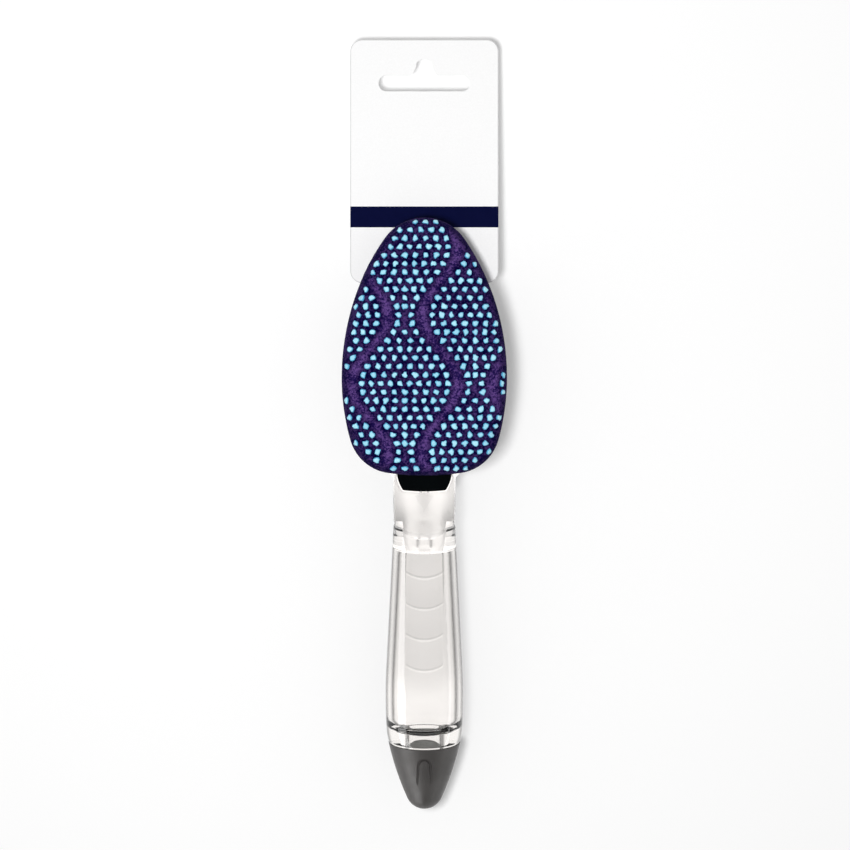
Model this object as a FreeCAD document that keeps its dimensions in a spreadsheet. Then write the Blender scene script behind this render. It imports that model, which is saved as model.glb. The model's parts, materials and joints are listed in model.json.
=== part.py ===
"""Dish wand with a soap-filled handle, a slide-on scrub head and a hang card.

The wand lies on its back with the scrub face up: X is lateral, +Y runs towards the
head and the card, +Z is up. Head pieces are drawn in a head frame (y from the pad's
heel to its tip, z out of the scrub face, z = 0 on the back of the base plate). Handle
pieces are drawn in a handle frame, whose -y axis runs from the bend to the end cap.
"""
import FreeCAD, Part
import math
import os
import Sketcher

# Every independent size, in millimetres and degrees: alias, value, meaning.
SIZES = [
    ("pad_length", 100.5, "pad, heel to tip"),
    ("pad_width", 64.5, "pad, widest"),
    ("pad_widest", 38.0, "heel to the widest place"),
    ("pad_tip_radius", 19.0, "outline radius at the tip"),
    ("pad_flank_radius", 90.0, "outline radius below the widest place"),
    ("pad_corner_radius", 18.0, "outline radius at the heel corners"),
    ("pad_heel_radius", 110.0, "outline radius of the heel"),
    ("pad_top", 24.0, "crown of the scrub face above the plate's back"),
    ("pad_crown", 420.0, "crown radius of the scrub face"),
    ("pad_roll", 6.0, "rolled edge radius of the scrub face"),
    ("cover_thickness", 1.2, "scrub fabric"),
    ("cover_lift", 0.4, "fabric hem above the base plate"),
    ("plate_thickness", 2.2, "base plate"),
    ("plate_inset", 3.5, "base plate inside the pad outline"),
    ("well_radius", 3.0, "soap well in the foam"),
    ("well_depth", 9.0, "soap well in the foam"),
    ("dot_pitch", 3.9, "scrub dots along a row, about"),
    ("dot_row", 3.3, "scrub dot rows"),
    ("dot_first", 2.8, "heel to the first row of dots"),
    ("dot_radius", 1.3, "scrub dot at its foot"),
    ("dot_height", 0.45, "scrub dot above the fabric"),
    ("dot_sink", 0.35, "scrub dot bonded into the fabric"),
    ("channel_pitch", 27.15, "bare channels, centre to centre"),
    ("channel_wave", 52.7, "wavelength of a channel"),
    ("channel_swing", 7.1, "amplitude of a channel"),
    ("channel_half", 4.05, "middle of a channel to the dots beside it"),
    ("channel_first", 21.1, "centre line to the first channel, on the left"),
    ("channel_phase", 35.6, "heel to a crest of the channels"),
    ("dot_margin", 0.1, "scrub dots inside the pad outline"),
    ("inlet_at", 40.0, "heel to the soap inlet"),
    ("inlet_radius", 2.5, "soap inlet in the plate"),
    ("tongue_width", 30.0, "slide tongue of the handle"),
    ("tongue_thickness", 3.0, "slide tongue of the handle"),
    ("tongue_corner", 4.0, "rounded tip and tapered root of the tongue"),
    ("tongue_gap", 0.9, "tongue below the plate's back"),
    ("tongue_tip", 72.0, "heel to the tongue's tip"),
    ("rail_clearance", 0.4, "rails beside the tongue"),
    ("rail_drop", 0.3, "rail lips below the tongue"),
    ("rail_wall", 2.6, "rail web"),
    ("rail_lip", 2.5, "rail lip thickness"),
    ("rail_reach", 4.4, "rail lip under the tongue"),
    ("rail_start", 7.0, "heel to the rails"),
    ("stop_clearance", 0.5, "tongue tip to the end stops"),
    ("stop_length", 2.0, "end stop blocks"),
    ("stem_width", 14.0, "duct stem behind the tongue"),
    ("stem_depth", 5.6, "duct stem behind the tongue"),
    ("stem_tip", 52.0, "heel to the stem's tip"),
    ("card_inset", 3.2, "card sides inside the widest place of the pad"),
    ("card_foot", 75.5, "heel to the card's lower edge"),
    ("card_top", 170.9, "heel to the card's far edge"),
    ("card_thickness", 0.6, "hang card"),
    ("card_corner", 4.7, "hang card corner radius"),
    ("card_tail_width", 20.0, "card tail under the plate"),
    ("card_tail_end", 50.0, "heel to the end of the card tail"),
    ("peg_radius", 2.0, "card pegs on the plate"),
    ("peg_spacing", 16.0, "card pegs, centre to centre"),
    ("peg_at", 62.0, "heel to the card pegs"),
    ("peg_clearance", 0.2, "card holes round the pegs"),
    ("slot_width", 36.0, "hang slot, end to end"),
    ("slot_height", 6.3, "hang slot arms"),
    ("slot_at", 153.8, "heel to the middle of the slot arms"),
    ("slot_lobe", 8.2, "slot middle to the top of its lobe"),
    ("slot_lobe_width", 6.0, "top of the slot's lobe"),
    ("slot_lobe_foot", 10.6, "slot lobe where it meets the arms"),
    ("slot_lobe_side", 7.5, "side curve of the slot's lobe"),
    ("slot_lobe_crown", 4.2, "top curve of the slot's lobe"),
    ("tab_width", 21.4, "latch tab at the heel"),
    ("tab_end_width", 15.9, "latch tab along its free end"),
    ("tab_side", 14.0, "side curve of the latch tab"),
    ("tab_end", 70.0, "curve of the latch tab's free end"),
    ("tab_corner", 1.0, "corner radius of the latch tab"),
    ("tab_corner_out", 0.8, "corner of the latch tab, across"),
    ("tab_corner_up", 0.65, "corner of the latch tab, along"),
    ("tab_bow", 0.5, "bow of the latch tab's free end"),
    ("tab_reach", 6.3, "latch tab beyond the heel"),
    ("tab_straight", 0.2, "heel to the end of the tab's straight sides"),
    ("tab_root", 5.6, "heel to the tab's hinge line"),
    ("tab_floor", 0.1, "underside of the tab above the plate's back"),
    ("tab_thickness", 1.5, "latch tab"),
    ("tab_clearance", 0.35, "pocket round the tab"),
    ("lug_height", 0.6, "catch lug on the pocket floor"),
    ("lug_width", 7.0, "catch lug"),
    ("lug_length", 1.0, "catch lug"),
    ("lug_at", 3.6, "catch lug beyond the heel"),
    ("bend_angle", 10.0, "handle axis to the head plane"),
    ("bend_back", 20.0, "heel back to the bend point"),
    ("bend_drop", 7.0, "bend point below the plate's back"),
    ("neck_radius", 12.3, "clear neck"),
    ("neck_top", 22.0, "bend point to the neck's upper end"),
    ("waist_depth", 0.4, "shallow waist round the neck"),
    ("seam_at", 8.0, "bend point to the welded seam"),
    ("seam_radius", 12.6, "barrel at the seam"),
    ("spigot_radius", 9.9, "spigot inside the barrel"),
    ("spigot_length", 1.2, "spigot inside the barrel"),
    ("weld_clearance", 0.1, "socket round the spigot"),
    ("socket_room", 0.5, "socket beyond the spigot"),
    ("socket_blend", 2.5, "spigot's end to the full bore of the barrel"),
    ("back_curve", 60.0, "slope at the back of the neck"),
    ("face_level", 1.8, "flat neck face above the plate's back"),
    ("cheek_half", 12.1, "half width of the neck's cheeks at their foot"),
    ("cheek_foot", 5.0, "foot of the cheeks below the plate's back"),
    ("cheek_start", 0.5, "cheeks ahead of the heel"),
    ("cheek_end", 18.3, "heel back to the end of the cheeks"),
    ("cheek_draft", 3.0, "inward lean of the cheeks"),
    ("scoop_radius", 18.6, "rounded end of the flat neck face"),
    ("scoop_end", 22.8, "heel back to the end of the flat face"),
    ("scoop_slope", 27.5, "rise of the scoop's end wall"),
    ("arrow_width", 7.0, "raised arrow on the neck"),
    ("arrow_length", 5.7, "raised arrow on the neck"),
    ("arrow_curve", 9.0, "bowed top of the arrow"),
    ("arrow_at", 8.1, "heel back to the arrow"),
    ("arrow_height", 0.3, "raised arrow on the neck"),
    ("duct_radius", 2.0, "soap duct in the stem"),
    ("duct_drop", 6.6, "soap duct below the plate's back"),
    ("throat_radius", 3.0, "soap duct in the neck"),
    ("valve_radius", 5.0, "valve seat"),
    ("valve_depth", 2.2, "valve seat"),
    ("valve_thickness", 1.2, "slit valve disc"),
    ("valve_clearance", 0.1, "valve in its seat"),
    ("retainer_bore", 3.2, "valve retainer ring"),
    ("seal_inner", 6.0, "outlet seal"),
    ("seal_outer", 7.6, "outlet seal"),
    ("seal_depth", 0.9, "outlet seal groove"),
    ("seal_proud", 0.8, "outlet seal above the tongue"),
    ("belly_radius", 15.45, "barrel, widest"),
    ("belly_at", 69.0, "bend point to the widest place"),
    ("belly_curve", 230.0, "side curve of the belly"),
    ("heel_at", 82.2, "bend point to the rounded end of the barrel"),
    ("barrel_end", 87.3, "bend point to the barrel's shoulder"),
    ("barrel_wall", 2.6, "barrel wall"),
    ("base_thickness", 4.6, "floor of the barrel"),
    ("shoulder_radius", 14.2, "barrel at the shoulder"),
    ("shoulder_inside", 5.6, "inner round of the shoulder"),
    ("finish_radius", 8.2, "threaded mouth"),
    ("finish_length", 6.6, "threaded mouth"),
    ("mouth_radius", 6.4, "filling mouth"),
    ("thread_lead", 6.0, "cap thread, two starts"),
    ("thread_height", 1.0, "thread ridges"),
    ("thread_foot", 1.1, "thread ridge at its foot"),
    ("thread_crest", 0.5, "thread ridge at its crest"),
    ("thread_rise", 3.0, "axial length of a thread ridge"),
    ("thread_clearance", 0.3, "between the ridges and the roots"),
    ("grip_count", 5, "grip facets on the barrel"),
    ("grip_pitch", 12.3, "grip facets"),
    ("grip_step", 10.6, "welded seam to the first grip step"),
    ("grip_lead", 6.5, "grip column above the welded seam"),
    ("grip_runout", 6.0, "grip column past its last step"),
    ("grip_width", 14.4, "grip column"),
    ("grip_round", 30.0, "cross curve of the grip column"),
    ("grip_spread", 44.0, "sweep of the grip column about its axis"),
    ("grip_rise", 0.45, "grip step"),
    ("grip_fade", 0.5, "share of the rise left at the last grip step"),
    ("grip_arc", 14.0, "bow of a grip step, seen from the front"),
    ("grip_slope", 28.0, "rise of a grip step"),
    ("cap_gap", 0.3, "cap rim to the shoulder"),
    ("cap_length", 27.9, "end cap, shoulder to tip"),
    ("cap_radius", 14.35, "end cap at its rim"),
    ("cap_tip_radius", 7.5, "end cap tip"),
    ("cap_flank", 120.0, "end cap side curve"),
    ("cap_wall", 2.2, "end cap beyond the insert"),
    ("insert_radius", 10.4, "threaded insert, outside"),
    ("insert_clearance", 0.05, "insert in the cap"),
    ("insert_floor", 1.2, "insert end disc"),
    ("washer_thickness", 0.7, "cap sealing washer"),
    ("washer_clearance", 0.05, "washer between mouth and insert"),
    ("washer_inner", 5.8, "cap sealing washer"),
    ("washer_outer", 8.4, "cap sealing washer"),
    ("flute_count", 3, "arched finger flutes on the cap"),
    ("flute_at", 3.9, "shoulder to the top of a flute"),
    ("flute_length", 15.5, "finger flute"),
    ("flute_depth", 1.1, "finger flute at its arched top"),
    ("flute_line", 0.8, "width of a flute's line"),
    ("flute_draft", 12.0, "slope of a flute's walls"),
    ("flute_top", 2.8, "arched top radius of a flute"),
    ("flute_foot", 3.6, "half width of a flute at its foot"),
]

doc = FreeCAD.newDocument("dish_wand")
dims = doc.addObject("Spreadsheet::Sheet", "dims")
for row, (alias, amount, meaning) in enumerate(SIZES, 1):
    dims.set(f"A{row}", meaning)
    dims.set(f"B{row}", str(amount))
    dims.setAlias(f"B{row}", alias)
doc.recompute()


def size(text):
    """Value of a sheet expression such as 'dims.pad_width / 2'."""
    return float(dims.evalExpression(text))


def vec(x=0.0, y=0.0, z=0.0):
    """Short form of a vector."""
    return FreeCAD.Vector(x, y, z)


def turn_x(degrees):
    """Rotation about the lateral axis."""
    return FreeCAD.Rotation(vec(1, 0, 0), degrees)


# Helpers for bodies and bound sketches

def new_body(name):
    """Body that will be written under the node name."""
    body = doc.addObject("PartDesign::Body", name)
    body.Label = name
    return body


def origin(body, role):
    """Origin plane or axis of a body, by its role."""
    return next(item for item in body.Origin.OriginFeatures if item.Role == role)


def sketch_on(body, name, role="XY_Plane", lift=None, offset=None):
    """Sketch on an origin plane, lifted by an expression or set off by a placement."""
    sketch = body.newObject("Sketcher::SketchObject", name)
    sketch.AttachmentSupport = (origin(body, role), [""])
    sketch.MapMode = "FlatFace"
    if offset is not None:
        sketch.AttachmentOffset = offset
    if lift is not None:
        sketch.setExpression("AttachmentOffset.Base.z", lift)
    doc.recompute()
    return sketch


def bind_constraint(sketch, index, text):
    """Drive one constraint from the sheet, unless the text is a plain number."""
    if "dims." in text:
        sketch.setExpression(f"Constraints[{index}]", text)


def pin(sketch, edge, end, x_text, y_text):
    """Hold a sketch point at sheet-driven coordinates."""
    for kind, axis, text in (("DistanceX", -2, x_text), ("DistanceY", -1, y_text)):
        if text == "0":
            sketch.addConstraint(Sketcher.Constraint("PointOnObject", edge, end, axis))
            continue
        index = sketch.addConstraint(
            Sketcher.Constraint(kind, -1, 1, edge, end, size(text)))
        bind_constraint(sketch, index, text)


def arc_between(start, stop, radius, side):
    """Minor arc of a radius between two points, bulging left (+1) or right (-1)."""
    chord = stop - start
    half = chord.Length / 2
    left = vec(-chord.y, chord.x).normalize()
    drop = math.sqrt(max(radius * radius - half * half, 0.0))
    crest = (start + stop) / 2 + left * side * (radius - drop)
    return Part.Arc(start, crest, stop)


def near_end(sketch, edge, point):
    """Which end of a sketch edge lies at a point: 1 for its start, 2 for its end."""
    return min((1, 2), key=lambda end: (sketch.getPoint(edge, end) - point).Length)


def outline(sketch, corners, rounds=None):
    """Closed chain of lines and arcs through sheet-driven corners.

    rounds maps a corner's index to (radius text, side) for the edge that follows it.
    """
    rounds = rounds or {}
    points = [vec(size(x_text), size(y_text)) for x_text, y_text in corners]
    edges = []
    for i, start in enumerate(points):
        stop = points[(i + 1) % len(points)]
        if i in rounds:
            curve = arc_between(start, stop, size(rounds[i][0]), rounds[i][1])
        else:
            curve = Part.LineSegment(start, stop)
        edges.append(sketch.addGeometry(curve, False))
    for i, edge in enumerate(edges):
        after = edges[(i + 1) % len(edges)]
        joint = points[(i + 1) % len(points)]
        sketch.addConstraint(Sketcher.Constraint(
            "Coincident", edge, near_end(sketch, edge, joint),
            after, near_end(sketch, after, joint)))
    for i, edge in enumerate(edges):
        pin(sketch, edge, near_end(sketch, edge, points[i]), *corners[i])
        if i in rounds:
            index = sketch.addConstraint(
                Sketcher.Constraint("Radius", edge, size(rounds[i][0])))
            bind_constraint(sketch, index, rounds[i][0])
    doc.recompute()
    return edges


def circle(sketch, x_text, y_text, radius_text):
    """Sheet-driven circle."""
    edge = sketch.addGeometry(Part.Circle(
        vec(size(x_text), size(y_text)), vec(0, 0, 1), size(radius_text)), False)
    pin(sketch, edge, 3, x_text, y_text)
    index = sketch.addConstraint(Sketcher.Constraint("Radius", edge, size(radius_text)))
    bind_constraint(sketch, index, radius_text)
    doc.recompute()


def box_outline(sketch, x0, x1, y0, y1):
    """Sheet-driven rectangle."""
    outline(sketch, [(x0, y0), (x1, y0), (x1, y1), (x0, y1)])


def sweep(body, kind, name, sketch, length=None, flip=False):
    """Pad or pocket of a sketch; a pocket with no length goes through everything."""
    feature = body.newObject(f"PartDesign::{kind}", name)
    feature.Profile = sketch
    if length is None:
        feature.Type = "ThroughAll"
    else:
        feature.setExpression("Length", length)
    feature.Reversed = flip
    body.Tip = feature
    doc.recompute()
    return feature


def revolve(body, kind, name, sketch, axis="V_Axis"):
    """Full revolution or groove of a sketch about one of its axes."""
    feature = body.newObject(f"PartDesign::{kind}", name)
    feature.Profile = sketch
    feature.ReferenceAxis = (sketch, [axis])
    feature.Angle = 360
    body.Tip = feature
    doc.recompute()
    return feature


def bore(body, name, radius, length, start, direction):
    """Round bore from a point along a direction."""
    feature = body.newObject("PartDesign::SubtractiveCylinder", name)
    feature.setExpression("Radius", radius)
    feature.Height = length
    feature.Placement = FreeCAD.Placement(start, FreeCAD.Rotation(vec(0, 0, 1), direction))
    body.Tip = feature
    doc.recompute()
    return feature


# The pad's egg outline, shared by the fabric, the foam and the base plate

class EggOutline:
    """Egg of tangent arcs, drawn at an inset from the pad's own outline."""

    def __init__(self, inset_text):
        inset = size(inset_text)
        self.inset_text = inset_text
        self.half = size("dims.pad_width / 2") - inset
        self.widest = size("dims.pad_widest")
        self.tip_r = size("dims.pad_tip_radius") - inset
        self.tip = vec(0, size("dims.pad_length - dims.pad_tip_radius"))
        rise = self.tip.y - self.widest
        self.side_r = (self.half ** 2 + rise ** 2 - self.tip_r ** 2) / (2 * (self.half - self.tip_r))
        self.side = vec(self.half - self.side_r, self.widest)
        self.flank_r = size("dims.pad_flank_radius") - inset
        self.flank = vec(self.half - self.flank_r, self.widest)
        self.heel_r = size("dims.pad_heel_radius") - inset
        self.heel = vec(0, size("dims.pad_heel_radius"))
        self.corner_r = size("dims.pad_corner_radius") - inset
        self.corner = self.meet(self.flank, self.flank_r - self.corner_r,
                                self.heel, self.heel_r - self.corner_r)

    @staticmethod
    def meet(one, one_r, two, two_r):
        """Lower right crossing of two circles."""
        gap = two - one
        reach = gap.Length
        along = (one_r ** 2 - two_r ** 2 + reach ** 2) / (2 * reach)
        across = math.sqrt(one_r ** 2 - along ** 2)
        unit = gap / reach
        foot = one + unit * along
        left = vec(-unit.y, unit.x)
        return max(foot + left * across, foot - left * across, key=lambda p: p.x - p.y)

    @staticmethod
    def reach(centre, radius, through):
        """Point on a circle in the direction of another centre."""
        return centre + (through - centre).normalize() * radius

    def arcs(self):
        """Right-hand arcs from the tip to the heel: centre, radius, start, stop."""
        shoulder = self.reach(self.side, self.side_r, self.tip)
        wide = vec(self.half, self.widest)
        low = self.reach(self.flank, self.flank_r, self.corner)
        base = self.reach(self.heel, self.heel_r, self.corner)
        return [(self.side, self.side_r, shoulder, wide),
                (self.flank, self.flank_r, wide, low),
                (self.corner, self.corner_r, low, base)]

    def edge_distance(self, x, y):
        """Distance of a point inside the outline from the outline."""
        here = vec(abs(x), y)
        span = []
        right = self.arcs()
        crest = (self.tip, self.tip_r, self.tip + vec(0, self.tip_r), right[0][2])
        for centre, radius, start, stop in [crest, *right]:
            spoke = here - centre
            if spoke.Length > 1e-6:
                foot = centre + spoke / spoke.Length * radius
                ends = ((start.x, foot.x, stop.x), (start.y, foot.y, stop.y))
                if all(min(a, c) - 1e-6 <= b <= max(a, c) + 1e-6 for a, b, c in ends):
                    span.append(radius - spoke.Length)
        span.append(self.heel_r - (here - self.heel).Length)
        return min(span)

    def draw(self, sketch):
        """Draw the outline with tangent joints and sheet-driven sizes."""
        right = self.arcs()
        mirror = lambda p: vec(-p.x, p.y)
        pieces = [(self.tip, self.tip_r, right[0][2], mirror(right[0][2]))]
        pieces += [(mirror(c), r, mirror(a), mirror(b)) for c, r, a, b in right]
        pieces.append((self.heel, self.heel_r, mirror(right[2][3]), right[2][3]))
        pieces += [(c, r, b, a) for c, r, a, b in reversed(right)]
        edges = []
        for centre, radius, start, stop in pieces:
            low, high = (math.atan2(p.y - centre.y, p.x - centre.x) for p in (start, stop))
            if high < low:
                high += 2 * math.pi
            ring = Part.Circle(centre, vec(0, 0, 1), radius)
            edges.append(sketch.addGeometry(Part.ArcOfCircle(ring, low, high), False))
        for i, edge in enumerate(edges):
            sketch.addConstraint(Sketcher.Constraint(
                "Tangent", edge, 2, edges[(i + 1) % len(edges)], 1))
        tip, heel = edges[0], edges[4]
        pin(sketch, tip, 3, "0", "dims.pad_length - dims.pad_tip_radius")
        pin(sketch, heel, 3, "0", "dims.pad_heel_radius")
        radii = [(tip, "tip"), (edges[2], "flank"), (edges[3], "corner"), (heel, "heel"),
                 (edges[5], "corner"), (edges[6], "flank")]
        for edge, name in radii:
            text = f"dims.pad_{name}_radius - {self.inset_text}"
            index = sketch.addConstraint(Sketcher.Constraint("Radius", edge, size(text)))
            bind_constraint(sketch, index, text)
        for upper, lower, sign in ((edges[1], edges[2], "-"), (edges[7], edges[6], "")):
            for edge in (upper, lower):
                index = sketch.addConstraint(Sketcher.Constraint(
                    "DistanceY", -1, 1, edge, 3, self.widest))
                bind_constraint(sketch, index, "dims.pad_widest")
            end = near_end(sketch, upper, vec((-1 if sign else 1) * self.half, self.widest))
            text = f"{sign}(dims.pad_width / 2 - {self.inset_text})"
            index = sketch.addConstraint(Sketcher.Constraint(
                "DistanceX", -1, 1, upper, end, size(text)))
            bind_constraint(sketch, index, text)
        doc.recompute()


# Frames: the wand rests on the card's far edge and on the back of the barrel

bend = math.radians(size("dims.bend_angle"))
bend_point = vec(0, -size("dims.bend_back"), -size("dims.bend_drop"))
axis_out = vec(0, -math.cos(bend), -math.sin(bend))
axis_front = vec(0, -math.sin(bend), math.cos(bend))
belly_centre = (bend_point + axis_out * size("dims.belly_at")
                + axis_front * size("dims.belly_curve - dims.belly_radius"))
card_edge = vec(0, size("dims.card_top"), -size("dims.card_thickness"))
span = belly_centre - card_edge
head_tilt = (math.asin(size("dims.belly_curve") / math.hypot(span.y, span.z))
             - math.atan2(span.z, -span.y))
handle_tilt = bend - head_tilt
head_turn = turn_x(-math.degrees(head_tilt))
handle_turn = turn_x(math.degrees(handle_tilt))
cap_tip = size("dims.barrel_end + dims.cap_length")
far_y = head_turn.multVec(vec(0, size("dims.card_top"), 0)).y
near_y = (head_turn.multVec(bend_point).y - size("dims.cap_tip_radius")
          - (cap_tip - size("dims.cap_tip_radius")) * math.cos(handle_tilt))
rest_height = -head_turn.multVec(card_edge).z
head_place = FreeCAD.Placement(vec(0, -(far_y + near_y) / 2, rest_height), head_turn)
handle_place = FreeCAD.Placement(head_place.multVec(bend_point), handle_turn)
head_in_handle = handle_place.inverse().multiply(head_place)


def head_offset(y=0.0, z=0.0):
    """Sketch offset that puts a handle-frame sketch on a level of the head frame."""
    return head_in_handle.multiply(FreeCAD.Placement(vec(0, y, z), FreeCAD.Rotation()))


# Scrub head

def pad_solid(name, inset, bottom, top_inset):
    """Egg-shaped cushion with a crowned face and a rolled front edge."""
    egg = doc.addObject("Sketcher::SketchObject", f"{name}_outline")
    EggOutline(inset).draw(egg)
    block = doc.addObject("Part::Extrusion", f"{name}_block")
    block.Base = egg
    block.DirMode = "Custom"
    block.Dir = vec(0, 0, 1)
    block.setExpression("LengthFwd", f"dims.pad_top - {bottom}")
    block.Solid = True
    block.setExpression("Placement.Base.z", bottom)
    dome = doc.addObject("Part::Sphere", f"{name}_dome")
    dome.setExpression("Radius", f"dims.pad_crown - {top_inset}")
    dome.setExpression("Placement.Base.y", "dims.pad_length / 2")
    dome.setExpression("Placement.Base.z", "dims.pad_top - dims.pad_crown")
    crowned = doc.addObject("Part::Common", f"{name}_crowned")
    crowned.Base = block
    crowned.Tool = dome
    doc.recompute()
    level = size(f"dims.pad_top - {top_inset}") - 6.0
    radius = size(f"dims.pad_roll - {top_inset}")
    rim = [(i, radius, radius) for i, edge in enumerate(crowned.Shape.Edges, 1)
           if all(v.Point.z > level for v in edge.Vertexes)]
    rolled = doc.addObject("Part::Fillet", f"{name}_rolled")
    rolled.Base = crowned
    rolled.Edges = rim
    doc.recompute()
    return rolled


def make_foam_core():
    """Foam block with the soap well that the inlet feeds."""
    cushion = pad_solid("foam", "dims.cover_thickness", "dims.plate_thickness",
                        "dims.cover_thickness")
    well = doc.addObject("Part::Cylinder", "soap_well")
    well.setExpression("Radius", "dims.well_radius")
    well.setExpression("Height", "dims.well_depth + 1")
    well.setExpression("Placement.Base.y", "dims.inlet_at")
    well.setExpression("Placement.Base.z", "dims.plate_thickness - 1")
    foam = doc.addObject("Part::Cut", "foam_core")
    foam.Base = cushion
    foam.Tool = well
    foam.Placement = head_place
    doc.recompute()
    return foam, cushion


def make_scrub_cover(cushion):
    """Fabric cover: the pad's outer form less the foam inside it."""
    outer = pad_solid("cover", "0", "dims.plate_thickness + dims.cover_lift", "0")
    cover = doc.addObject("Part::Cut", "scrub_cover")
    cover.Base = outer
    cover.Tool = cushion
    cover.Placement = head_place
    doc.recompute()
    return cover


def row_places(y):
    """Where the dots of one row stand across the pad, spread evenly between the channels."""
    wave = math.cos(2 * math.pi * (y - size("dims.channel_phase")) / size("dims.channel_wave"))
    middles = [lane * size("dims.channel_pitch") - size("dims.channel_first")
               - (-1) ** lane * size("dims.channel_swing") * wave for lane in range(-1, 4)]
    half = size("dims.channel_half")
    places = []
    for left, right in zip(middles, middles[1:]):
        width = right - left - 2 * half
        gaps = max(round(width / size("dims.dot_pitch")), 1)
        places += [left + half + width * step / gaps for step in range(gaps + 1)]
    return places


def make_scrub_dots():
    """Printed scrub dots in rows, with wavy bare channels between them."""
    egg = EggOutline("0")
    roll = size("dims.pad_roll")
    crown = size("dims.pad_crown")
    dome = vec(0, size("dims.pad_length / 2"), size("dims.pad_top") - crown)
    foot_r = size("dims.dot_radius")
    sink = size("dims.dot_sink")
    tall = sink + size("dims.dot_height")
    dot = Part.makeCone(foot_r, foot_r * 0.72, tall)
    dots = []
    rows = int(size("(dims.pad_length - dims.dot_first) / dims.dot_row"))
    for row_index in range(rows + 1):
        y = size("dims.dot_first") + row_index * size("dims.dot_row")
        for x in row_places(y):
            depth = egg.edge_distance(x, y)
            if abs(x) > egg.half or depth < foot_r + size("dims.dot_margin"):
                continue
            foot = vec(x, y, dome.z + math.sqrt(crown ** 2 - x * x - (y - dome.y) ** 2))
            normal = foot - dome
            lean = (roll - depth) / roll
            if lean > 0:
                step = 0.01
                inward = vec(egg.edge_distance(x + step, y) - depth,
                             egg.edge_distance(x, y + step) - depth).normalize()
                if lean > -normal.dot(inward) / crown:
                    ball = vec(x, y) + inward * (roll - depth)
                    ball.z = dome.z + math.sqrt((crown - roll) ** 2 - ball.x ** 2
                                                - (ball.y - dome.y) ** 2)
                    normal = inward * -lean + vec(0, 0, math.sqrt(1 - lean * lean))
                    foot = ball + normal * roll
            normal.normalize()
            place = FreeCAD.Placement(foot - normal * sink,
                                      FreeCAD.Rotation(vec(0, 0, 1), normal))
            dots.append(dot.transformed(place.toMatrix()))
    feature = doc.addObject("Part::Feature", "scrub_dots")
    feature.Shape = Part.makeCompound(dots)
    feature.Placement = head_place
    doc.recompute()
    return feature


RAIL_INSIDE = "dims.tongue_width / 2 + dims.rail_clearance"
RAIL_OUTSIDE = f"{RAIL_INSIDE} + dims.rail_wall"
LIP_EDGE = f"{RAIL_INSIDE} - dims.rail_reach"
LIP_TOP = "dims.tongue_gap + dims.tongue_thickness + dims.rail_drop"
RAIL_FOOT = f"{LIP_TOP} + dims.rail_lip"
STOP_START = "dims.tongue_tip + dims.stop_clearance"
RAIL_END = f"{STOP_START} + dims.stop_length"


def make_base_plate():
    """Black plate under the foam, with the C rails that slide on the tongue."""
    body = new_body("base_plate")
    egg = sketch_on(body, "plate_outline")
    EggOutline("dims.plate_inset").draw(egg)
    sweep(body, "Pad", "plate", egg, "dims.plate_thickness")
    rails = sketch_on(body, "rail_section", "XZ_Plane", "-dims.rail_start")
    for sign in ("", "-"):
        outline(rails, [(f"{sign}({RAIL_OUTSIDE})", "0"),
                        (f"{sign}({RAIL_OUTSIDE})", f"-({RAIL_FOOT})"),
                        (f"{sign}({LIP_EDGE})", f"-({RAIL_FOOT})"),
                        (f"{sign}({LIP_EDGE})", f"-({LIP_TOP})"),
                        (f"{sign}({RAIL_INSIDE})", f"-({LIP_TOP})"),
                        (f"{sign}({RAIL_INSIDE})", "0")])
    sweep(body, "Pad", "rails", rails, f"{RAIL_END} - dims.rail_start", flip=True)
    stops = sketch_on(body, "stop_blocks")
    for sign in ("", "-"):
        box_outline(stops, f"{sign}({LIP_EDGE})", f"{sign}({RAIL_OUTSIDE})",
                    STOP_START, RAIL_END)
    sweep(body, "Pad", "end_stops", stops, RAIL_FOOT, flip=True)
    pegs = sketch_on(body, "peg_circles")
    for sign in ("", "-"):
        circle(pegs, f"{sign}dims.peg_spacing / 2", "dims.peg_at", "dims.peg_radius")
    sweep(body, "Pad", "card_pegs", pegs, "dims.card_thickness", flip=True)
    inlet = sketch_on(body, "inlet_circle")
    circle(inlet, "0", "dims.inlet_at", "dims.inlet_radius")
    sweep(body, "Pocket", "inlet", inlet, "dims.plate_thickness", flip=True)
    notch = sketch_on(body, "notch_outline")
    box_outline(notch, "-dims.tab_width / 2 - dims.tab_clearance",
                "dims.tab_width / 2 + dims.tab_clearance",
                "-5", "dims.tab_root + dims.tab_thickness / 2 + dims.tab_clearance")
    sweep(body, "Pocket", "tab_notch", notch, "dims.plate_thickness", flip=True)
    body.Placement = head_place
    return body


def tab_corners(grow):
    """Corners of the latch tab, or of its pocket when grown by a clearance."""
    wide = f"(dims.tab_width / 2 + {grow})"
    narrow = f"(dims.tab_end_width / 2 + {grow})"
    end = f"-(dims.tab_reach - dims.tab_bow + {grow})"
    side = f"({narrow} + dims.tab_corner_out)"
    low = f"{end} + dims.tab_corner_up"
    return [(wide, "dims.tab_root"), (wide, "dims.tab_straight"), (side, low), (narrow, end),
            (f"-{narrow}", end), (f"-{side}", low), (f"-{wide}", "dims.tab_straight"),
            (f"-{wide}", "dims.tab_root")]


TAB_ROUNDS = {1: ("dims.tab_side", 1), 2: ("dims.tab_corner", 1), 3: ("dims.tab_end", 1),
              4: ("dims.tab_corner", 1), 5: ("dims.tab_side", 1)}


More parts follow.
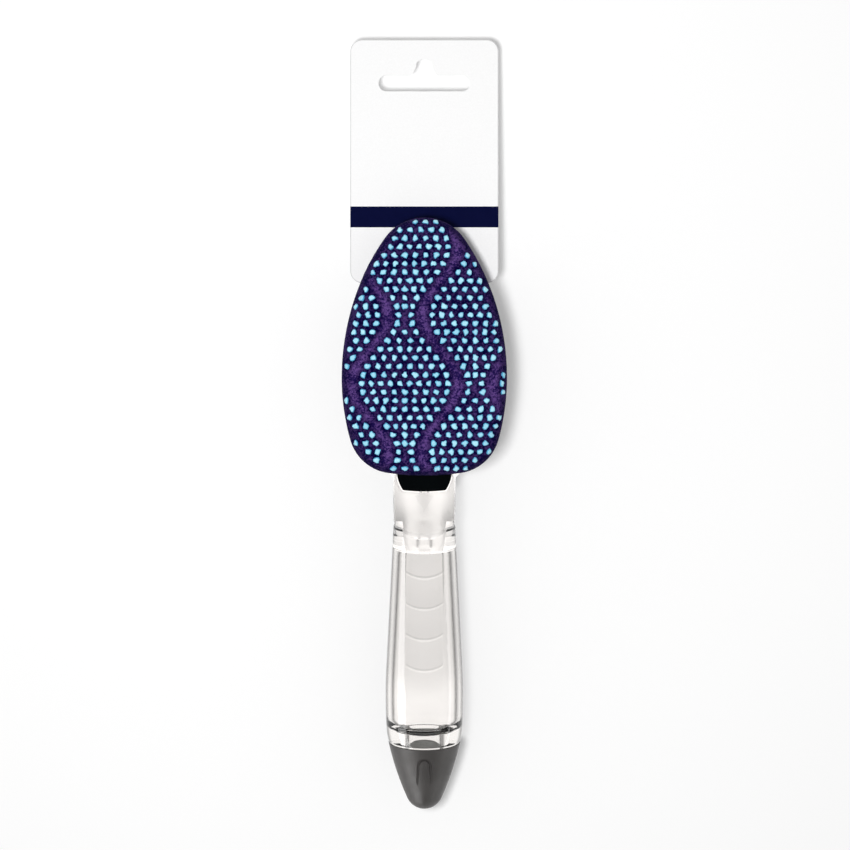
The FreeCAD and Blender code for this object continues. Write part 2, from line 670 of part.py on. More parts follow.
def make_latch_tab():
    """Flexing latch tab at the heel, hooked over the lug in the neck's pocket."""
    body = new_body("latch_tab")
    shape = sketch_on(body, "tab_outline", lift="dims.tab_floor")
    outline(shape, tab_corners("0"), TAB_ROUNDS)
    sweep(body, "Pad", "tab", shape, "dims.tab_thickness")
    knuckle = sketch_on(body, "knuckle_circle", "YZ_Plane")
    circle(knuckle, "dims.tab_root", "dims.tab_floor + dims.tab_thickness / 2",
           "dims.tab_thickness / 2")
    roll = sweep(body, "Pad", "hinge_roll", knuckle, "dims.tab_width")
    roll.Midplane = True
    doc.recompute()
    recess = sketch_on(body, "catch_recess", lift="dims.tab_floor")
    box_outline(recess, "-dims.lug_width / 2 - 0.5", "dims.lug_width / 2 + 0.5",
                "-dims.lug_at - dims.lug_length / 2 - 0.4",
                "-dims.lug_at + dims.lug_length / 2 + 0.4")
    sweep(body, "Pocket", "catch", recess, "dims.tab_thickness / 2", flip=True)
    body.Placement = head_place
    return body


def make_hang_card():
    """Retail hang card, its tail pegged to the back of the base plate."""
    body = new_body("hang_card")
    half = "(dims.pad_width / 2 - dims.card_inset)"
    tail = "dims.card_tail_width / 2"
    r = "dims.card_corner"
    shape = sketch_on(body, "card_outline", lift="-dims.card_thickness")
    outline(shape, [
        (tail, "dims.card_tail_end"), (tail, "dims.card_foot"),
        (f"{half} - {r}", "dims.card_foot"), (half, f"dims.card_foot + {r}"),
        (half, f"dims.card_top - {r}"), (f"{half} - {r}", "dims.card_top"),
        (f"-({half} - {r})", "dims.card_top"), (f"-({half})", f"dims.card_top - {r}"),
        (f"-({half})", f"dims.card_foot + {r}"), (f"-({half} - {r})", "dims.card_foot"),
        (f"-{tail}", "dims.card_foot"), (f"-{tail}", "dims.card_tail_end")],
        {2: (r, -1), 4: (r, -1), 6: (r, -1), 8: (r, -1)})
    sweep(body, "Pad", "card", shape, "dims.card_thickness")
    slot = sketch_on(body, "slot_outline", lift="-dims.card_thickness")
    arm = "(dims.slot_width / 2 - dims.slot_height / 2)"
    low = "(dims.slot_at - dims.slot_height / 2)"
    high = "(dims.slot_at + dims.slot_height / 2)"
    lobe = "(dims.slot_at + dims.slot_lobe)"
    top = "dims.slot_lobe_width / 2"
    foot = "dims.slot_lobe_foot / 2"
    outline(slot, [(f"-{arm}", low), (arm, low), (arm, high), (f"{foot} + 0", high),
                   (top, lobe), (f"-{top}", lobe), (f"-{foot}", high), (f"-{arm}", high)],
            {1: ("dims.slot_height / 2 + 0.0001", -1), 3: ("dims.slot_lobe_side", 1),
             4: ("dims.slot_lobe_crown", -1), 5: ("dims.slot_lobe_side", 1),
             7: ("dims.slot_height / 2 + 0.0001", -1)})
    sweep(body, "Pocket", "hang_slot", slot, "dims.card_thickness", flip=True)
    holes = sketch_on(body, "peg_holes", lift="-dims.card_thickness")
    for sign in ("", "-"):
        circle(holes, f"{sign}dims.peg_spacing / 2", "dims.peg_at",
               "dims.peg_radius + dims.peg_clearance")
    sweep(body, "Pocket", "holes", holes, "dims.card_thickness", flip=True)
    body.Placement = head_place
    return body


# Clear handle

def make_head_mount():
    """Clear neck with the flat face, the slide tongue, the stem and the soap ducts."""
    body = new_body("head_mount")
    neck = sketch_on(body, "neck_section")
    end = "-(dims.seam_at + dims.spigot_length)"
    outline(neck, [("0", "dims.neck_top"), ("dims.neck_radius", "dims.neck_top"),
                   ("dims.neck_radius", "6"), ("dims.neck_radius - dims.waist_depth", "4.5"),
                   ("dims.neck_radius - dims.waist_depth", "1"),
                   ("dims.neck_radius", "-0.5"), ("dims.seam_radius", "-dims.seam_at"),
                   ("dims.spigot_radius", "-dims.seam_at"), ("dims.spigot_radius", end),
                   ("0", end)])
    revolve(body, "Revolution", "neck", neck)
    back = sketch_on(body, "back_cut", "YZ_Plane", offset=FreeCAD.Placement())
    stem_back = "(dims.tongue_gap + dims.tongue_thickness + dims.stem_depth)"
    heel_y = head_in_handle.multVec(vec(0, -2, -size(stem_back)))
    root_y = head_in_handle.multVec(vec(0, 8, -size(stem_back)))
    outline(back, [("-dims.seam_at + 1", "-dims.neck_radius - 0.4"),
                   (f"{heel_y.y:.12f}", f"{heel_y.z:.12f}"), (f"{root_y.y:.12f}", f"{root_y.z:.12f}"),
                   (f"{root_y.y:.12f}", "-40"), ("-dims.seam_at + 1", "-40")],
            {0: ("dims.back_curve", 1)})
    cut = sweep(body, "Pocket", "back_slope", back, "60")
    cut.Midplane = True
    tongue = sketch_on(body, "tongue_outline",
                       offset=head_offset(z=-size("dims.tongue_gap + dims.tongue_thickness")))
    wide = "dims.tongue_width / 2"
    round_tip = "dims.tongue_corner"
    root = "dims.tongue_corner / 2"
    outline(tongue, [(f"-({wide} - {round_tip})", f"-{root}"), (f"{wide} - {round_tip}", f"-{root}"),
                     (wide, root), (wide, f"dims.tongue_tip - {round_tip}"),
                     (f"{wide} - {round_tip}", "dims.tongue_tip"),
                     (f"-({wide} - {round_tip})", "dims.tongue_tip"),
                     (f"-{wide}", f"dims.tongue_tip - {round_tip}"), (f"-{wide}", root)],
            {3: (round_tip, -1), 5: (round_tip, -1)})
    sweep(body, "Pad", "tongue", tongue, "dims.tongue_thickness")
    stem = sketch_on(body, "stem_outline", offset=head_offset(z=-size(stem_back)))
    side = "dims.stem_width / 2"
    outline(stem, [(f"-({side})", "-8"), (side, "-8"), (side, f"dims.stem_tip - {side}"),
                   (f"-({side})", f"dims.stem_tip - {side}")],
            {2: (f"{side} + 0.0001", -1)})
    sweep(body, "Pad", "stem", stem, "dims.stem_depth + 0.5")
    cheeks = sketch_on(body, "cheek_outline", offset=head_offset(z=-size("dims.cheek_foot")))
    box_outline(cheeks, "-dims.cheek_half", "dims.cheek_half", "-dims.cheek_end", "dims.cheek_start")
    block = sweep(body, "Pad", "cheeks", cheeks, "dims.cheek_foot + dims.face_level + 0.6")
    block.setExpression("TaperAngle", "-dims.cheek_draft")
    doc.recompute()
    scoop = body.newObject("PartDesign::SubtractiveCone", "face_scoop")
    scoop.setExpression("Radius1", "dims.scoop_radius")
    scoop.setExpression("Radius2", "dims.scoop_radius + 12 / tan(dims.scoop_slope)")
    scoop.Height = 12
    scoop.Placement = head_offset(size("dims.scoop_radius - dims.scoop_end"),
                                  size("dims.face_level"))
    body.Tip = scoop
    doc.recompute()
    pocket = sketch_on(body, "tab_pocket_outline", offset=head_offset(z=-size("dims.tongue_gap")))
    outline(pocket, tab_corners("dims.tab_clearance"), TAB_ROUNDS)
    sweep(body, "Pocket", "tab_pocket", pocket, "dims.tongue_gap + dims.face_level + 4", flip=True)
    lug = sketch_on(body, "lug_outline", offset=head_offset(z=-size("dims.tongue_gap")))
    box_outline(lug, "-dims.lug_width / 2", "dims.lug_width / 2",
                "-dims.lug_at - dims.lug_length / 2", "-dims.lug_at + dims.lug_length / 2")
    sweep(body, "Pad", "catch_lug", lug, "dims.lug_height")
    arrow = sketch_on(body, "arrow_outline", offset=head_offset(z=size("dims.face_level")))
    outline(arrow, [("-dims.arrow_width / 2", "-dims.arrow_at"),
                    ("0", "-dims.arrow_at - dims.arrow_length"),
                    ("dims.arrow_width / 2", "-dims.arrow_at")], {2: ("dims.arrow_curve", -1)})
    sweep(body, "Pad", "arrow", arrow, "dims.arrow_height")
    grip_column(body)
    grip_step(body, 0)
    up = head_in_handle.Rotation.multVec(vec(0, 0, 1))
    along = head_in_handle.Rotation.multVec(vec(0, 1, 0))
    seat = head_in_handle.multVec(vec(0, size("dims.inlet_at"), -size("dims.tongue_gap")))
    drop = size("dims.duct_drop")
    bore(body, "throat", "dims.throat_radius", size("dims.seam_at + dims.spigot_length") + 3,
         vec(0, 2, 0), vec(0, -1, 0))
    bore(body, "duct", "dims.duct_radius", size("dims.inlet_at + dims.bend_back") - 2,
         head_in_handle.multVec(vec(0, 2 - size("dims.bend_back"), -drop)), along)
    bore(body, "port", "dims.duct_radius", drop,
         head_in_handle.multVec(vec(0, size("dims.inlet_at"), -drop)), up)
    bore(body, "valve_seat", "dims.valve_radius", size("dims.valve_depth"), seat, up * -1)
    groove = sketch_on(body, "seal_groove_outline",
                       offset=head_offset(size("dims.inlet_at"), -size("dims.tongue_gap")))
    circle(groove, "0", "0", "dims.seal_inner")
    circle(groove, "0", "0", "dims.seal_outer")
    sweep(body, "Pocket", "seal_groove", groove, "dims.seal_depth")
    body.Placement = handle_place
    return body


def belly_tangent():
    """Where a straight line from the seam runs into the belly's curve: axial, radius."""
    curve = size("dims.belly_curve")
    run = size("dims.belly_at - dims.seam_at")
    fall = size("dims.seam_radius - dims.belly_radius") + curve
    angle = math.atan2(fall, run) - math.asin(curve / math.hypot(run, fall))
    angle = -angle if angle < 0 else angle
    return (size("dims.belly_at") - curve * math.sin(angle),
            size("dims.belly_radius") - curve * (1 - math.cos(angle)))


def barrel_radius(along):
    """Outer radius of the barrel at a distance from the bend point."""
    at, radius = belly_tangent()
    if along < at:
        start = size("dims.seam_at")
        low = size("dims.seam_radius")
        return low + (radius - low) * (along - start) / (at - start)
    curve = size("dims.belly_curve")
    return (size("dims.belly_radius") - curve
            + math.sqrt(curve ** 2 - (along - size("dims.belly_at")) ** 2))


def thread_ridge(body, name, root, crest, start):
    """Two-start right-hand thread ridge between two radii."""
    section = sketch_on(body, f"{name}_section")
    foot = "dims.thread_foot / 2"
    tip = "dims.thread_crest / 2"
    outline(section, [(root, f"-({start} - {foot})"), (crest, f"-({start} - {tip})"),
                      (crest, f"-({start} + {tip})"), (root, f"-({start} + {foot})")])
    ridge = body.newObject("PartDesign::AdditiveHelix", name)
    ridge.Profile = section
    ridge.ReferenceAxis = (section, ["V_Axis"])
    ridge.Mode = 0
    ridge.setExpression("Pitch", "dims.thread_lead")
    ridge.setExpression("Height", "dims.thread_rise")
    ridge.Reversed = True
    body.Tip = ridge
    doc.recompute()
    starts = body.newObject("PartDesign::PolarPattern", f"{name}_starts")
    starts.Originals = [ridge]
    starts.Axis = (section, ["V_Axis"])
    starts.Angle = 360
    starts.Occurrences = 2
    body.Tip = starts
    doc.recompute()


def make_handle_barrel():
    """Clear soap barrel: belly, rounded shoulder, threaded mouth and stepped grip column."""
    body = new_body("handle_barrel")
    at, radius = belly_tangent()
    heel = size("dims.heel_at")
    heel_r = barrel_radius(heel)
    wall = size("dims.barrel_wall")
    run = size("dims.barrel_end") - heel
    tilt = math.asin((heel - size("dims.belly_at")) / size("dims.belly_curve"))
    chord = vec(run, heel_r - size("dims.shoulder_radius"))
    round_r = chord.Length / (2 * math.sin(math.atan2(chord.y, chord.x) - tilt))
    inner_r = size("dims.shoulder_inside")
    bulge = size("dims.belly_curve")
    socket = "dims.spigot_radius + dims.weld_clearance"
    socket_end = "-(dims.seam_at + dims.spigot_length + dims.socket_room)"
    rim = "-(dims.barrel_end + dims.finish_length)"
    inside = size("dims.barrel_end - dims.base_thickness")
    widened = size("dims.seam_at + dims.spigot_length + dims.socket_blend")
    section = sketch_on(body, "barrel_section")
    outline(section, [
        (socket, "-dims.seam_at - dims.weld_clearance"),
        ("dims.seam_radius", "-dims.seam_at - dims.weld_clearance"),
        (f"{radius:.12f}", f"{-at:.12f}"), (f"{heel_r:.12f}", "-dims.heel_at"),
        ("dims.shoulder_radius", "-dims.barrel_end"), ("dims.finish_radius", "-dims.barrel_end"),
        ("dims.finish_radius", rim), ("dims.mouth_radius", rim),
        ("dims.mouth_radius", f"{-inside:.12f}"),
        (f"{barrel_radius(inside - inner_r) - wall - inner_r:.12f}", f"{-inside:.12f}"),
        (f"{barrel_radius(inside - inner_r) - wall:.12f}", f"{inner_r - inside:.12f}"),
        (f"{radius - wall:.12f}", f"{-at:.12f}"),
        (f"{barrel_radius(widened) - wall:.12f}", f"{-widened:.12f}"),
        (socket, socket_end)],
        {2: (f"{bulge}", 1), 3: (f"{round_r:.12f}", 1),
         9: (f"{inner_r + 0.0001:.12f}", -1), 10: (f"{bulge - wall}", -1)})
    revolve(body, "Revolution", "barrel", section)
    thread_ridge(body, "mouth_thread", "dims.finish_radius - 0.3",
                 "dims.finish_radius + dims.thread_height", "(dims.barrel_end + 1.8)")
    grip_column(body)
    for step in range(int(size("dims.grip_count"))):
        grip_step(body, step)
    body.Placement = handle_place
    return body


def step_place(step):
    """Distance of a grip step from the bend point."""
    return size("dims.seam_at + dims.grip_step") + step * size("dims.grip_pitch")


def column_ends():
    """Distances from the bend point at which the grip column starts and makes its last step."""
    return size("dims.seam_at - dims.grip_lead"), step_place(size("dims.grip_count") - 1)


def wide_floor(along):
    """Height at which the grip column's cross curve is as wide as the column."""
    half = size("dims.grip_width / 2")
    flat = size("dims.grip_round")
    edge = math.sqrt(barrel_radius(along) ** 2 - half ** 2)
    return edge + flat - math.sqrt(flat ** 2 - half ** 2)


def column_floor(along):
    """Height of the grip column's straight middle line."""
    start, stop = column_ends()
    return wide_floor(start) + (wide_floor(stop) - wide_floor(start)) * (along - start) / (stop - start)


def grip_column(body):
    """Flattened column down the front of the handle."""
    start, stop = column_ends()
    end = stop + size("dims.grip_runout")
    above = barrel_radius(end) + 1
    section = sketch_on(body, "grip_section", "YZ_Plane")
    outline(section, [(f"{-start:.12f}", f"{column_floor(start):.12f}"),
                      (f"{-stop:.12f}", f"{column_floor(stop):.12f}"),
                      (f"{-end:.12f}", f"{barrel_radius(end) + 0.1:.12f}"),
                      (f"{-end:.12f}", f"{above:.12f}"), (f"{-start:.12f}", f"{above:.12f}")])
    deep = column_floor((start + stop) / 2) - size("dims.grip_round")
    section.addGeometry(Part.LineSegment(vec(-start, deep), vec(-end, deep)), True)
    doc.recompute()
    cut = body.newObject("PartDesign::Groove", "grip_column")
    cut.Profile = section
    cut.ReferenceAxis = (section, ["Axis0"])
    cut.setExpression("Angle", "dims.grip_spread")
    cut.Midplane = True
    body.Tip = cut
    doc.recompute()


def grip_step(body, step):
    """Flat scoop in the grip column that ends in a bowed step."""
    stop = step_place(step)
    back = stop - size("dims.grip_pitch")
    share = size("dims.grip_fade") if step + 1 == size("dims.grip_count") else 1.0
    deep = vec(0, -stop, column_floor(stop) - size("dims.grip_rise") * share)
    rise = vec(0, -back, column_floor(back)) - deep
    lean = math.degrees(math.atan2(rise.z, rise.y))
    cut = body.newObject("PartDesign::SubtractiveCone", f"grip_step_{step + 1}")
    cut.setExpression("Radius1", "dims.grip_arc")
    cut.setExpression("Radius2", "dims.grip_arc + 8 / tan(dims.grip_slope)")
    cut.Height = 8
    cut.Placement = FreeCAD.Placement(deep + rise.normalize() * size("dims.grip_arc"), turn_x(lean))
    body.Tip = cut
    doc.recompute()


# End cap

class CapProfile:
    """Bullet outline of the end cap: a side arc tangent to a round tip."""

    def __init__(self, inset=0.0):
        self.tip_r = size("dims.cap_tip_radius") - inset
        self.flank_r = size("dims.cap_flank") - inset
        self.tip_at = size("dims.cap_length - dims.cap_tip_radius")
        rim = vec(size("dims.cap_radius"), 0)
        tip = vec(0, self.tip_at)
        gap = tip - rim
        reach = gap.Length
        one, two = size("dims.cap_flank"), size("dims.cap_flank - dims.cap_tip_radius")
        along = (one ** 2 - two ** 2 + reach ** 2) / (2 * reach)
        across = math.sqrt(one ** 2 - along ** 2)
        unit = gap / reach
        foot = rim + unit * along
        left = vec(-unit.y, unit.x)
        self.flank = min(foot + left * across, foot - left * across, key=lambda p: p.x)
        self.join = self.flank + (tip - self.flank).normalize() * self.flank_r

    def radius(self, along):
        """Radius at a distance from the shoulder."""
        if along <= self.join.y:
            return self.flank.x + math.sqrt(self.flank_r ** 2 - (along - self.flank.y) ** 2)
        return math.sqrt(max(self.tip_r ** 2 - (along - self.tip_at) ** 2, 0.0))


INSERT_END = "(dims.barrel_end + dims.finish_length + dims.washer_thickness + 2 * dims.washer_clearance)"
INSERT_BACK = f"({INSERT_END} + dims.insert_floor)"


def make_end_cap():
    """Grey bullet-shaped cap shell with finger flutes."""
    body = new_body("end_cap")
    outer = CapProfile()
    inner = CapProfile(size("dims.cap_wall"))
    end = size("dims.barrel_end")
    back = size(INSERT_BACK)
    rim = size("dims.cap_gap")
    bore_r = "dims.insert_radius + dims.insert_clearance"
    section = sketch_on(body, "cap_section")
    outline(section, [
        (bore_r, "-(dims.barrel_end + dims.cap_gap)"),
        (f"{outer.radius(rim):.12f}", "-(dims.barrel_end + dims.cap_gap)"),
        (f"{outer.join.x:.12f}", f"{-end - outer.join.y:.12f}"),
        ("0", "-(dims.barrel_end + dims.cap_length)"),
        ("0", "-(dims.barrel_end + dims.cap_length - dims.cap_wall)"),
        (f"{inner.join.x:.12f}", f"{-end - inner.join.y:.12f}"),
        (f"{inner.radius(back - end):.12f}", f"{-back:.12f}"),
        (bore_r, f"-{INSERT_BACK}")],
        {1: ("dims.cap_flank", 1), 2: ("dims.cap_tip_radius", 1),
         4: ("dims.cap_tip_radius - dims.cap_wall", -1),
         5: ("dims.cap_flank - dims.cap_wall", -1)})
    revolve(body, "Revolution", "shell", section)
    top = size("dims.flute_at")
    length = size("dims.flute_length")
    high = outer.radius(top) - size("dims.flute_depth")
    low = outer.radius(top + length) + 0.05
    lean = math.degrees(math.atan2(high - low, length))
    floor = sketch_on(body, "flute_outline", offset=FreeCAD.Placement(
        vec(0, -end - top, high), turn_x(lean)))
    arch = "dims.flute_top"
    inner_arch = "(dims.flute_top - dims.flute_line)"
    inner_foot = "(dims.flute_foot - dims.flute_line)"
    foot = "-dims.flute_length - 2"
    outline(floor, [(arch, f"-{arch}"), (f"-{arch}", f"-{arch}"),
                    ("-dims.flute_foot", foot), (f"-{inner_foot}", foot),
                    (f"-{inner_arch}", f"-{arch}"), (inner_arch, f"-{arch}"),
                    (inner_foot, foot), ("dims.flute_foot", foot)],
            {0: (f"{arch} + 0.0001", -1), 4: (f"{inner_arch} + 0.0001", 1)})
    flute = sweep(body, "Pocket", "flute", floor, "4", flip=True)
    flute.setExpression("TaperAngle", "dims.flute_draft")
    doc.recompute()
    ring = body.newObject("PartDesign::PolarPattern", "flutes")
    ring.Originals = [flute]
    ring.Axis = (section, ["V_Axis"])
    ring.Angle = 360
    body.Tip = ring
    ring.Occurrences = int(size("dims.flute_count"))
    doc.recompute()
    body.Placement = handle_place
    return body


def make_cap_insert():
    """Threaded insert fixed in the cap."""
    body = new_body("cap_insert")
    root = "dims.finish_radius + dims.thread_height + dims.thread_clearance"
    start = "-(dims.barrel_end + dims.cap_gap + 0.1)"
    section = sketch_on(body, "insert_section")
    outline(section, [(root, start), ("dims.insert_radius", start),
                      ("dims.insert_radius", f"-{INSERT_BACK}"), ("0", f"-{INSERT_BACK}"),
                      ("0", f"-{INSERT_END}"), (root, f"-{INSERT_END}")])
    revolve(body, "Revolution", "insert", section)
    thread_ridge(body, "cap_thread", f"{root} + 0.25",
                 "dims.finish_radius + dims.thread_clearance + 0.1",
                 "(dims.barrel_end + 1.8 + dims.thread_lead / 4)")
    body.Placement = handle_place
    return body


# Small turned pieces

def turned_ring(name, place, corners):
    """Ring or disc turned about its frame's z axis."""
    body = new_body(name)
    section = sketch_on(body, f"{name}_section", "XZ_Plane")
    outline(section, corners)
    revolve(body, "Revolution", f"{name}_ring", section)
    body.Placement = place
    return body


def make_seals():
    """Slit valve, its retainer, the outlet seal and the cap washer."""
    outlet = head_place.multiply(FreeCAD.Placement(
        vec(0, size("dims.inlet_at"), -size("dims.tongue_gap")), FreeCAD.Rotation()))
    rim = "dims.valve_radius - dims.valve_clearance"
    low = "-dims.valve_depth"
    top = f"{low} + dims.valve_thickness"
    valve = turned_ring("outlet_valve", outlet, [
        ("0", f"{top} + 0.7"), ("0", f"{low} + 0.6"), ("1.2", f"{low} + 0.45"), ("1.9", low),
        (rim, low), (rim, top), ("2.6", top), ("1.6", f"{top} + 0.55")])
    retainer = turned_ring("valve_retainer", outlet, [
        ("dims.retainer_bore", top), (rim, top), (rim, "-0.1"), ("dims.retainer_bore", "-0.1")])
    seal_in = "dims.seal_inner + 0.05"
    seal_out = "dims.seal_outer - 0.05"
    seal = turned_ring("outlet_seal", outlet, [
        (seal_in, "-dims.seal_depth"), (seal_out, "-dims.seal_depth"),
        (seal_out, "dims.seal_proud - 0.4"), (f"{seal_out} - 0.4", "dims.seal_proud"),
        (f"{seal_in} + 0.4", "dims.seal_proud"), (seal_in, "dims.seal_proud - 0.4")])
    washer_place = handle_place.multiply(FreeCAD.Placement(vec(), turn_x(-90)))
    near = "dims.barrel_end + dims.finish_length + dims.washer_clearance"
    far = f"{near} + dims.washer_thickness"
    washer = turned_ring("cap_seal", washer_place, [
        ("dims.washer_inner", f"-({near})"), ("dims.washer_outer", f"-({near})"),
        ("dims.washer_outer", f"-({far})"), ("dims.washer_inner", f"-({far})")])
    return [valve, retainer, seal, washer]


foam_core, foam_cushion = make_foam_core()
nodes = [
    make_handle_barrel(), make_head_mount(), *make_seals(), make_end_cap(), make_cap_insert(),
    make_base_plate(), make_latch_tab(), foam_core, make_scrub_cover(foam_cushion),
    make_scrub_dots(), make_hang_card(),
]
doc.recompute()

# Check everything, then write one file per node

for item in doc.Objects:
    if "Invalid" in item.State or "Error" in item.State:
        raise RuntimeError(f"{item.Name} did not recompute: {item.State}")
for node in nodes:
    if node.Shape.isNull() or not node.Shape.isValid():
        raise RuntimeError(f"{node.Label} has no valid shape")
os.makedirs("parts", exist_ok=True)
for node in nodes:
    node.Shape.exportStep(f"parts/{node.Label}.step")
    FreeCAD.Console.PrintMessage(
        f"{node.Label}: {len(node.Shape.Solids)} solids, {node.Shape.Volume:.1f} mm3\n")
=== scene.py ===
"""Looks of the dish wand: fabric pad with printed dots, clear handle, cap and hang card.

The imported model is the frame: rigid pieces keep their solids and get a finish, and the
soft pieces of the pad are made here and stand for theirs. Lengths are in metres.
"""

import json
import logging
import math
import random
from dataclasses import dataclass, field
from enum import Enum

import bmesh
import bpy
from mathutils import Matrix, Vector
from mathutils.bvhtree import BVHTree
from mathutils.kdtree import KDTree


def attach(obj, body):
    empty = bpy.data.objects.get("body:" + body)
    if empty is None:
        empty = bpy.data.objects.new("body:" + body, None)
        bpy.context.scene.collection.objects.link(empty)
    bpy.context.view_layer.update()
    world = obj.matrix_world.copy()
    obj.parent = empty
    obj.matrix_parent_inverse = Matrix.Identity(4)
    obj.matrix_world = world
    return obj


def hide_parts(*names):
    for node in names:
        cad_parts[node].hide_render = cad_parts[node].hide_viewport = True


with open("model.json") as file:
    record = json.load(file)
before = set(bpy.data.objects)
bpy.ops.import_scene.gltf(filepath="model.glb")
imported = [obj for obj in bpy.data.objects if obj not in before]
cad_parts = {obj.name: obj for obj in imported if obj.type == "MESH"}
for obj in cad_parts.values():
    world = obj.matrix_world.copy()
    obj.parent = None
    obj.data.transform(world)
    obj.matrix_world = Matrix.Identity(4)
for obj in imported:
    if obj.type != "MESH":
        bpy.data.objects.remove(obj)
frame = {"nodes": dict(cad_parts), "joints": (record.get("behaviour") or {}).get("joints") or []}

MM = 0.001
# Lengths under which mesh points count as one, and the range that most noise values lie in
MERGE_REACH = 0.001 * MM
CUT_REACH = 0.0001 * MM
NOISE_RANGE = (0.3, 0.7)
LOG = logging.getLogger("dish_wand")
Pair = tuple[float, float]
Colour = tuple[float, float, float]
Socket = bpy.types.NodeSocket
WHITE: Colour = (1.0, 1.0, 1.0)


def rgba(colour: Colour, share: float = 1.0) -> tuple[float, float, float, float]:
    """Opaque colour, dimmed to a share of itself."""
    return (*(part * share for part in colour), 1.0)


def limited(value: float, highest: float = 1.0) -> float:
    """Value held between zero and a highest one."""
    return min(max(value, 0.0), highest)


# Frames of the sub-assemblies, read from the joints

@dataclass(frozen=True)
class LocalFrame:
    """Right-handed frame of a sub-assembly in the row frame.

    Attributes:
        origin: Where the frame sits.
        along: Its y axis, towards the card on the head and towards the cap on the handle.
        up: Its z axis, out of the scrub face.
    """

    origin: Vector
    along: Vector
    up: Vector

    def point(self, x: float, y: float, z: float) -> Vector:
        """Row-frame point of local coordinates."""
        return self.origin + Vector((x, 0.0, 0.0)) + self.along * y + self.up * z

    def height(self, point: Vector) -> float:
        """Local z of a row-frame point."""
        return (point - self.origin).dot(self.up)

    def matrix(self) -> Matrix:
        """Local to row-frame matrix, for a frame whose x axis is the row's."""
        across = self.along.cross(self.up)
        turn = Matrix((across, self.along, self.up)).transposed()
        return Matrix.Translation(self.origin) @ turn.to_4x4()


def joint(name: str) -> dict:
    """Packed joint of a name."""
    return next(item for item in frame["joints"] if item["name"] == name)


def head_frame(tab_root: float = 5.6 * MM, tab_middle: float = 0.85 * MM) -> LocalFrame:
    """Frame of the scrub head, from its slide and the latch's hinge line.

    Args:
        tab_root: Hinge line of the latch ahead of the pad's heel.
        tab_middle: Hinge line above the back of the base plate.

    Returns:
        Frame at the pad's heel, on the back of the base plate.
    """
    along = Vector(joint("head_slide")["axis"]).normalized()
    up = Vector((1.0, 0.0, 0.0)).cross(along)
    hinge = Vector(joint("latch_flex")["pos_m"])
    return LocalFrame(hinge - along * tab_root - up * tab_middle, along, up)


def handle_frame(cap_rim: float = 87.6 * MM) -> LocalFrame:
    """Frame of the handle, from the axis of its cap.

    Args:
        cap_rim: Bend of the handle to the point that the cap turns about.

    Returns:
        Frame at the bend, on the axis of the barrel.
    """
    cap = joint("cap_twist")
    along = Vector(cap["axis"]).normalized()
    return LocalFrame(Vector(cap["pos_m"]) - along * cap_rim, along, along.cross(Vector((1.0, 0.0, 0.0))))


HEAD = head_frame()
HANDLE = handle_frame()


# Node trees

class NodeDesk:
    """Short calls to place, set and link the nodes of one tree."""

    def __init__(self, tree: bpy.types.NodeTree) -> None:
        """Keep the tree that the calls work on."""
        self.tree = tree

    def feed(self, socket: Socket, source: object) -> None:
        """Link a socket to another one, or set it to a plain value."""
        if isinstance(source, Socket):
            self.tree.links.new(source, socket)
        else:
            socket.default_value = source

    def node(self, kind: str, links: dict | None = None, **settings: object) -> bpy.types.Node:
        """Place a node.

        Args:
            kind: Node type.
            links: Input name or index to a socket that feeds it, or to a plain value.
            settings: Properties of the node itself.

        Returns:
            The new node.
        """
        made = self.tree.nodes.new(kind)
        for name, value in settings.items():
            setattr(made, name, value)
        for key, source in (links or {}).items():
            self.feed(made.inputs[key], source)
        return made

    def math(self, operation: str, *values: object, clamp: bool = False) -> Socket:
        """Result of a Math node on sockets or numbers."""
        made = self.node("ShaderNodeMath", dict(enumerate(values)), operation=operation, use_clamp=clamp)
        return made.outputs[0]

    def mix(self, share: object, first: object, second: object) -> Socket:
        """Colour between two colours, by a share."""
        made = self.node("ShaderNodeMix", {0: share, 6: first, 7: second}, data_type="RGBA")
        return made.outputs[2]

    def blend(self, share: object, first: object, second: object) -> Socket:
        """Shader between two shaders, by a share."""
        return self.node("ShaderNodeMixShader", {0: share, 1: first, 2: second}).outputs[0]

    def dot(self, where: Socket, axis: Vector) -> Socket:
        """Length of a vector along an axis."""
        made = self.node("ShaderNodeVectorMath", {0: where, 1: axis}, operation="DOT_PRODUCT")
        return made.outputs["Value"]

    def span(self, value: object, low: float, high: float, to_low: float = 0.0,
             to_high: float = 1.0) -> Socket:
        """Value mapped smoothly from one range to another."""
        made = self.node("ShaderNodeMapRange", {0: value, 1: low, 2: high, 3: to_low, 4: to_high},
                         interpolation_type="SMOOTHSTEP")
        return made.outputs[0]

    def noise(self, where: Socket, scale: object, detail: float = 2.0, rough: float = 0.5) -> Socket:
        """Noise value at a place."""
        made = self.node("ShaderNodeTexNoise", {
            "Vector": where, "Scale": scale, "Detail": detail, "Roughness": rough})
        return made.outputs["Fac"]

    def clouds(self, where: Socket, scale: float, to_low: float = 0.0, to_high: float = 1.0) -> Socket:
        """Soft clouds: noise at a place, spread over a range."""
        return self.span(self.noise(where, scale), *NOISE_RANGE, to_low, to_high)

    def place(self) -> Socket:
        """Object coordinates of the piece."""
        return self.node("ShaderNodeTexCoord").outputs["Object"]

    def group(self, tree: bpy.types.NodeTree, **inputs: object) -> bpy.types.Node:
        """Place a shared group with its own values."""
        return self.node("ShaderNodeGroup", inputs, node_tree=tree)


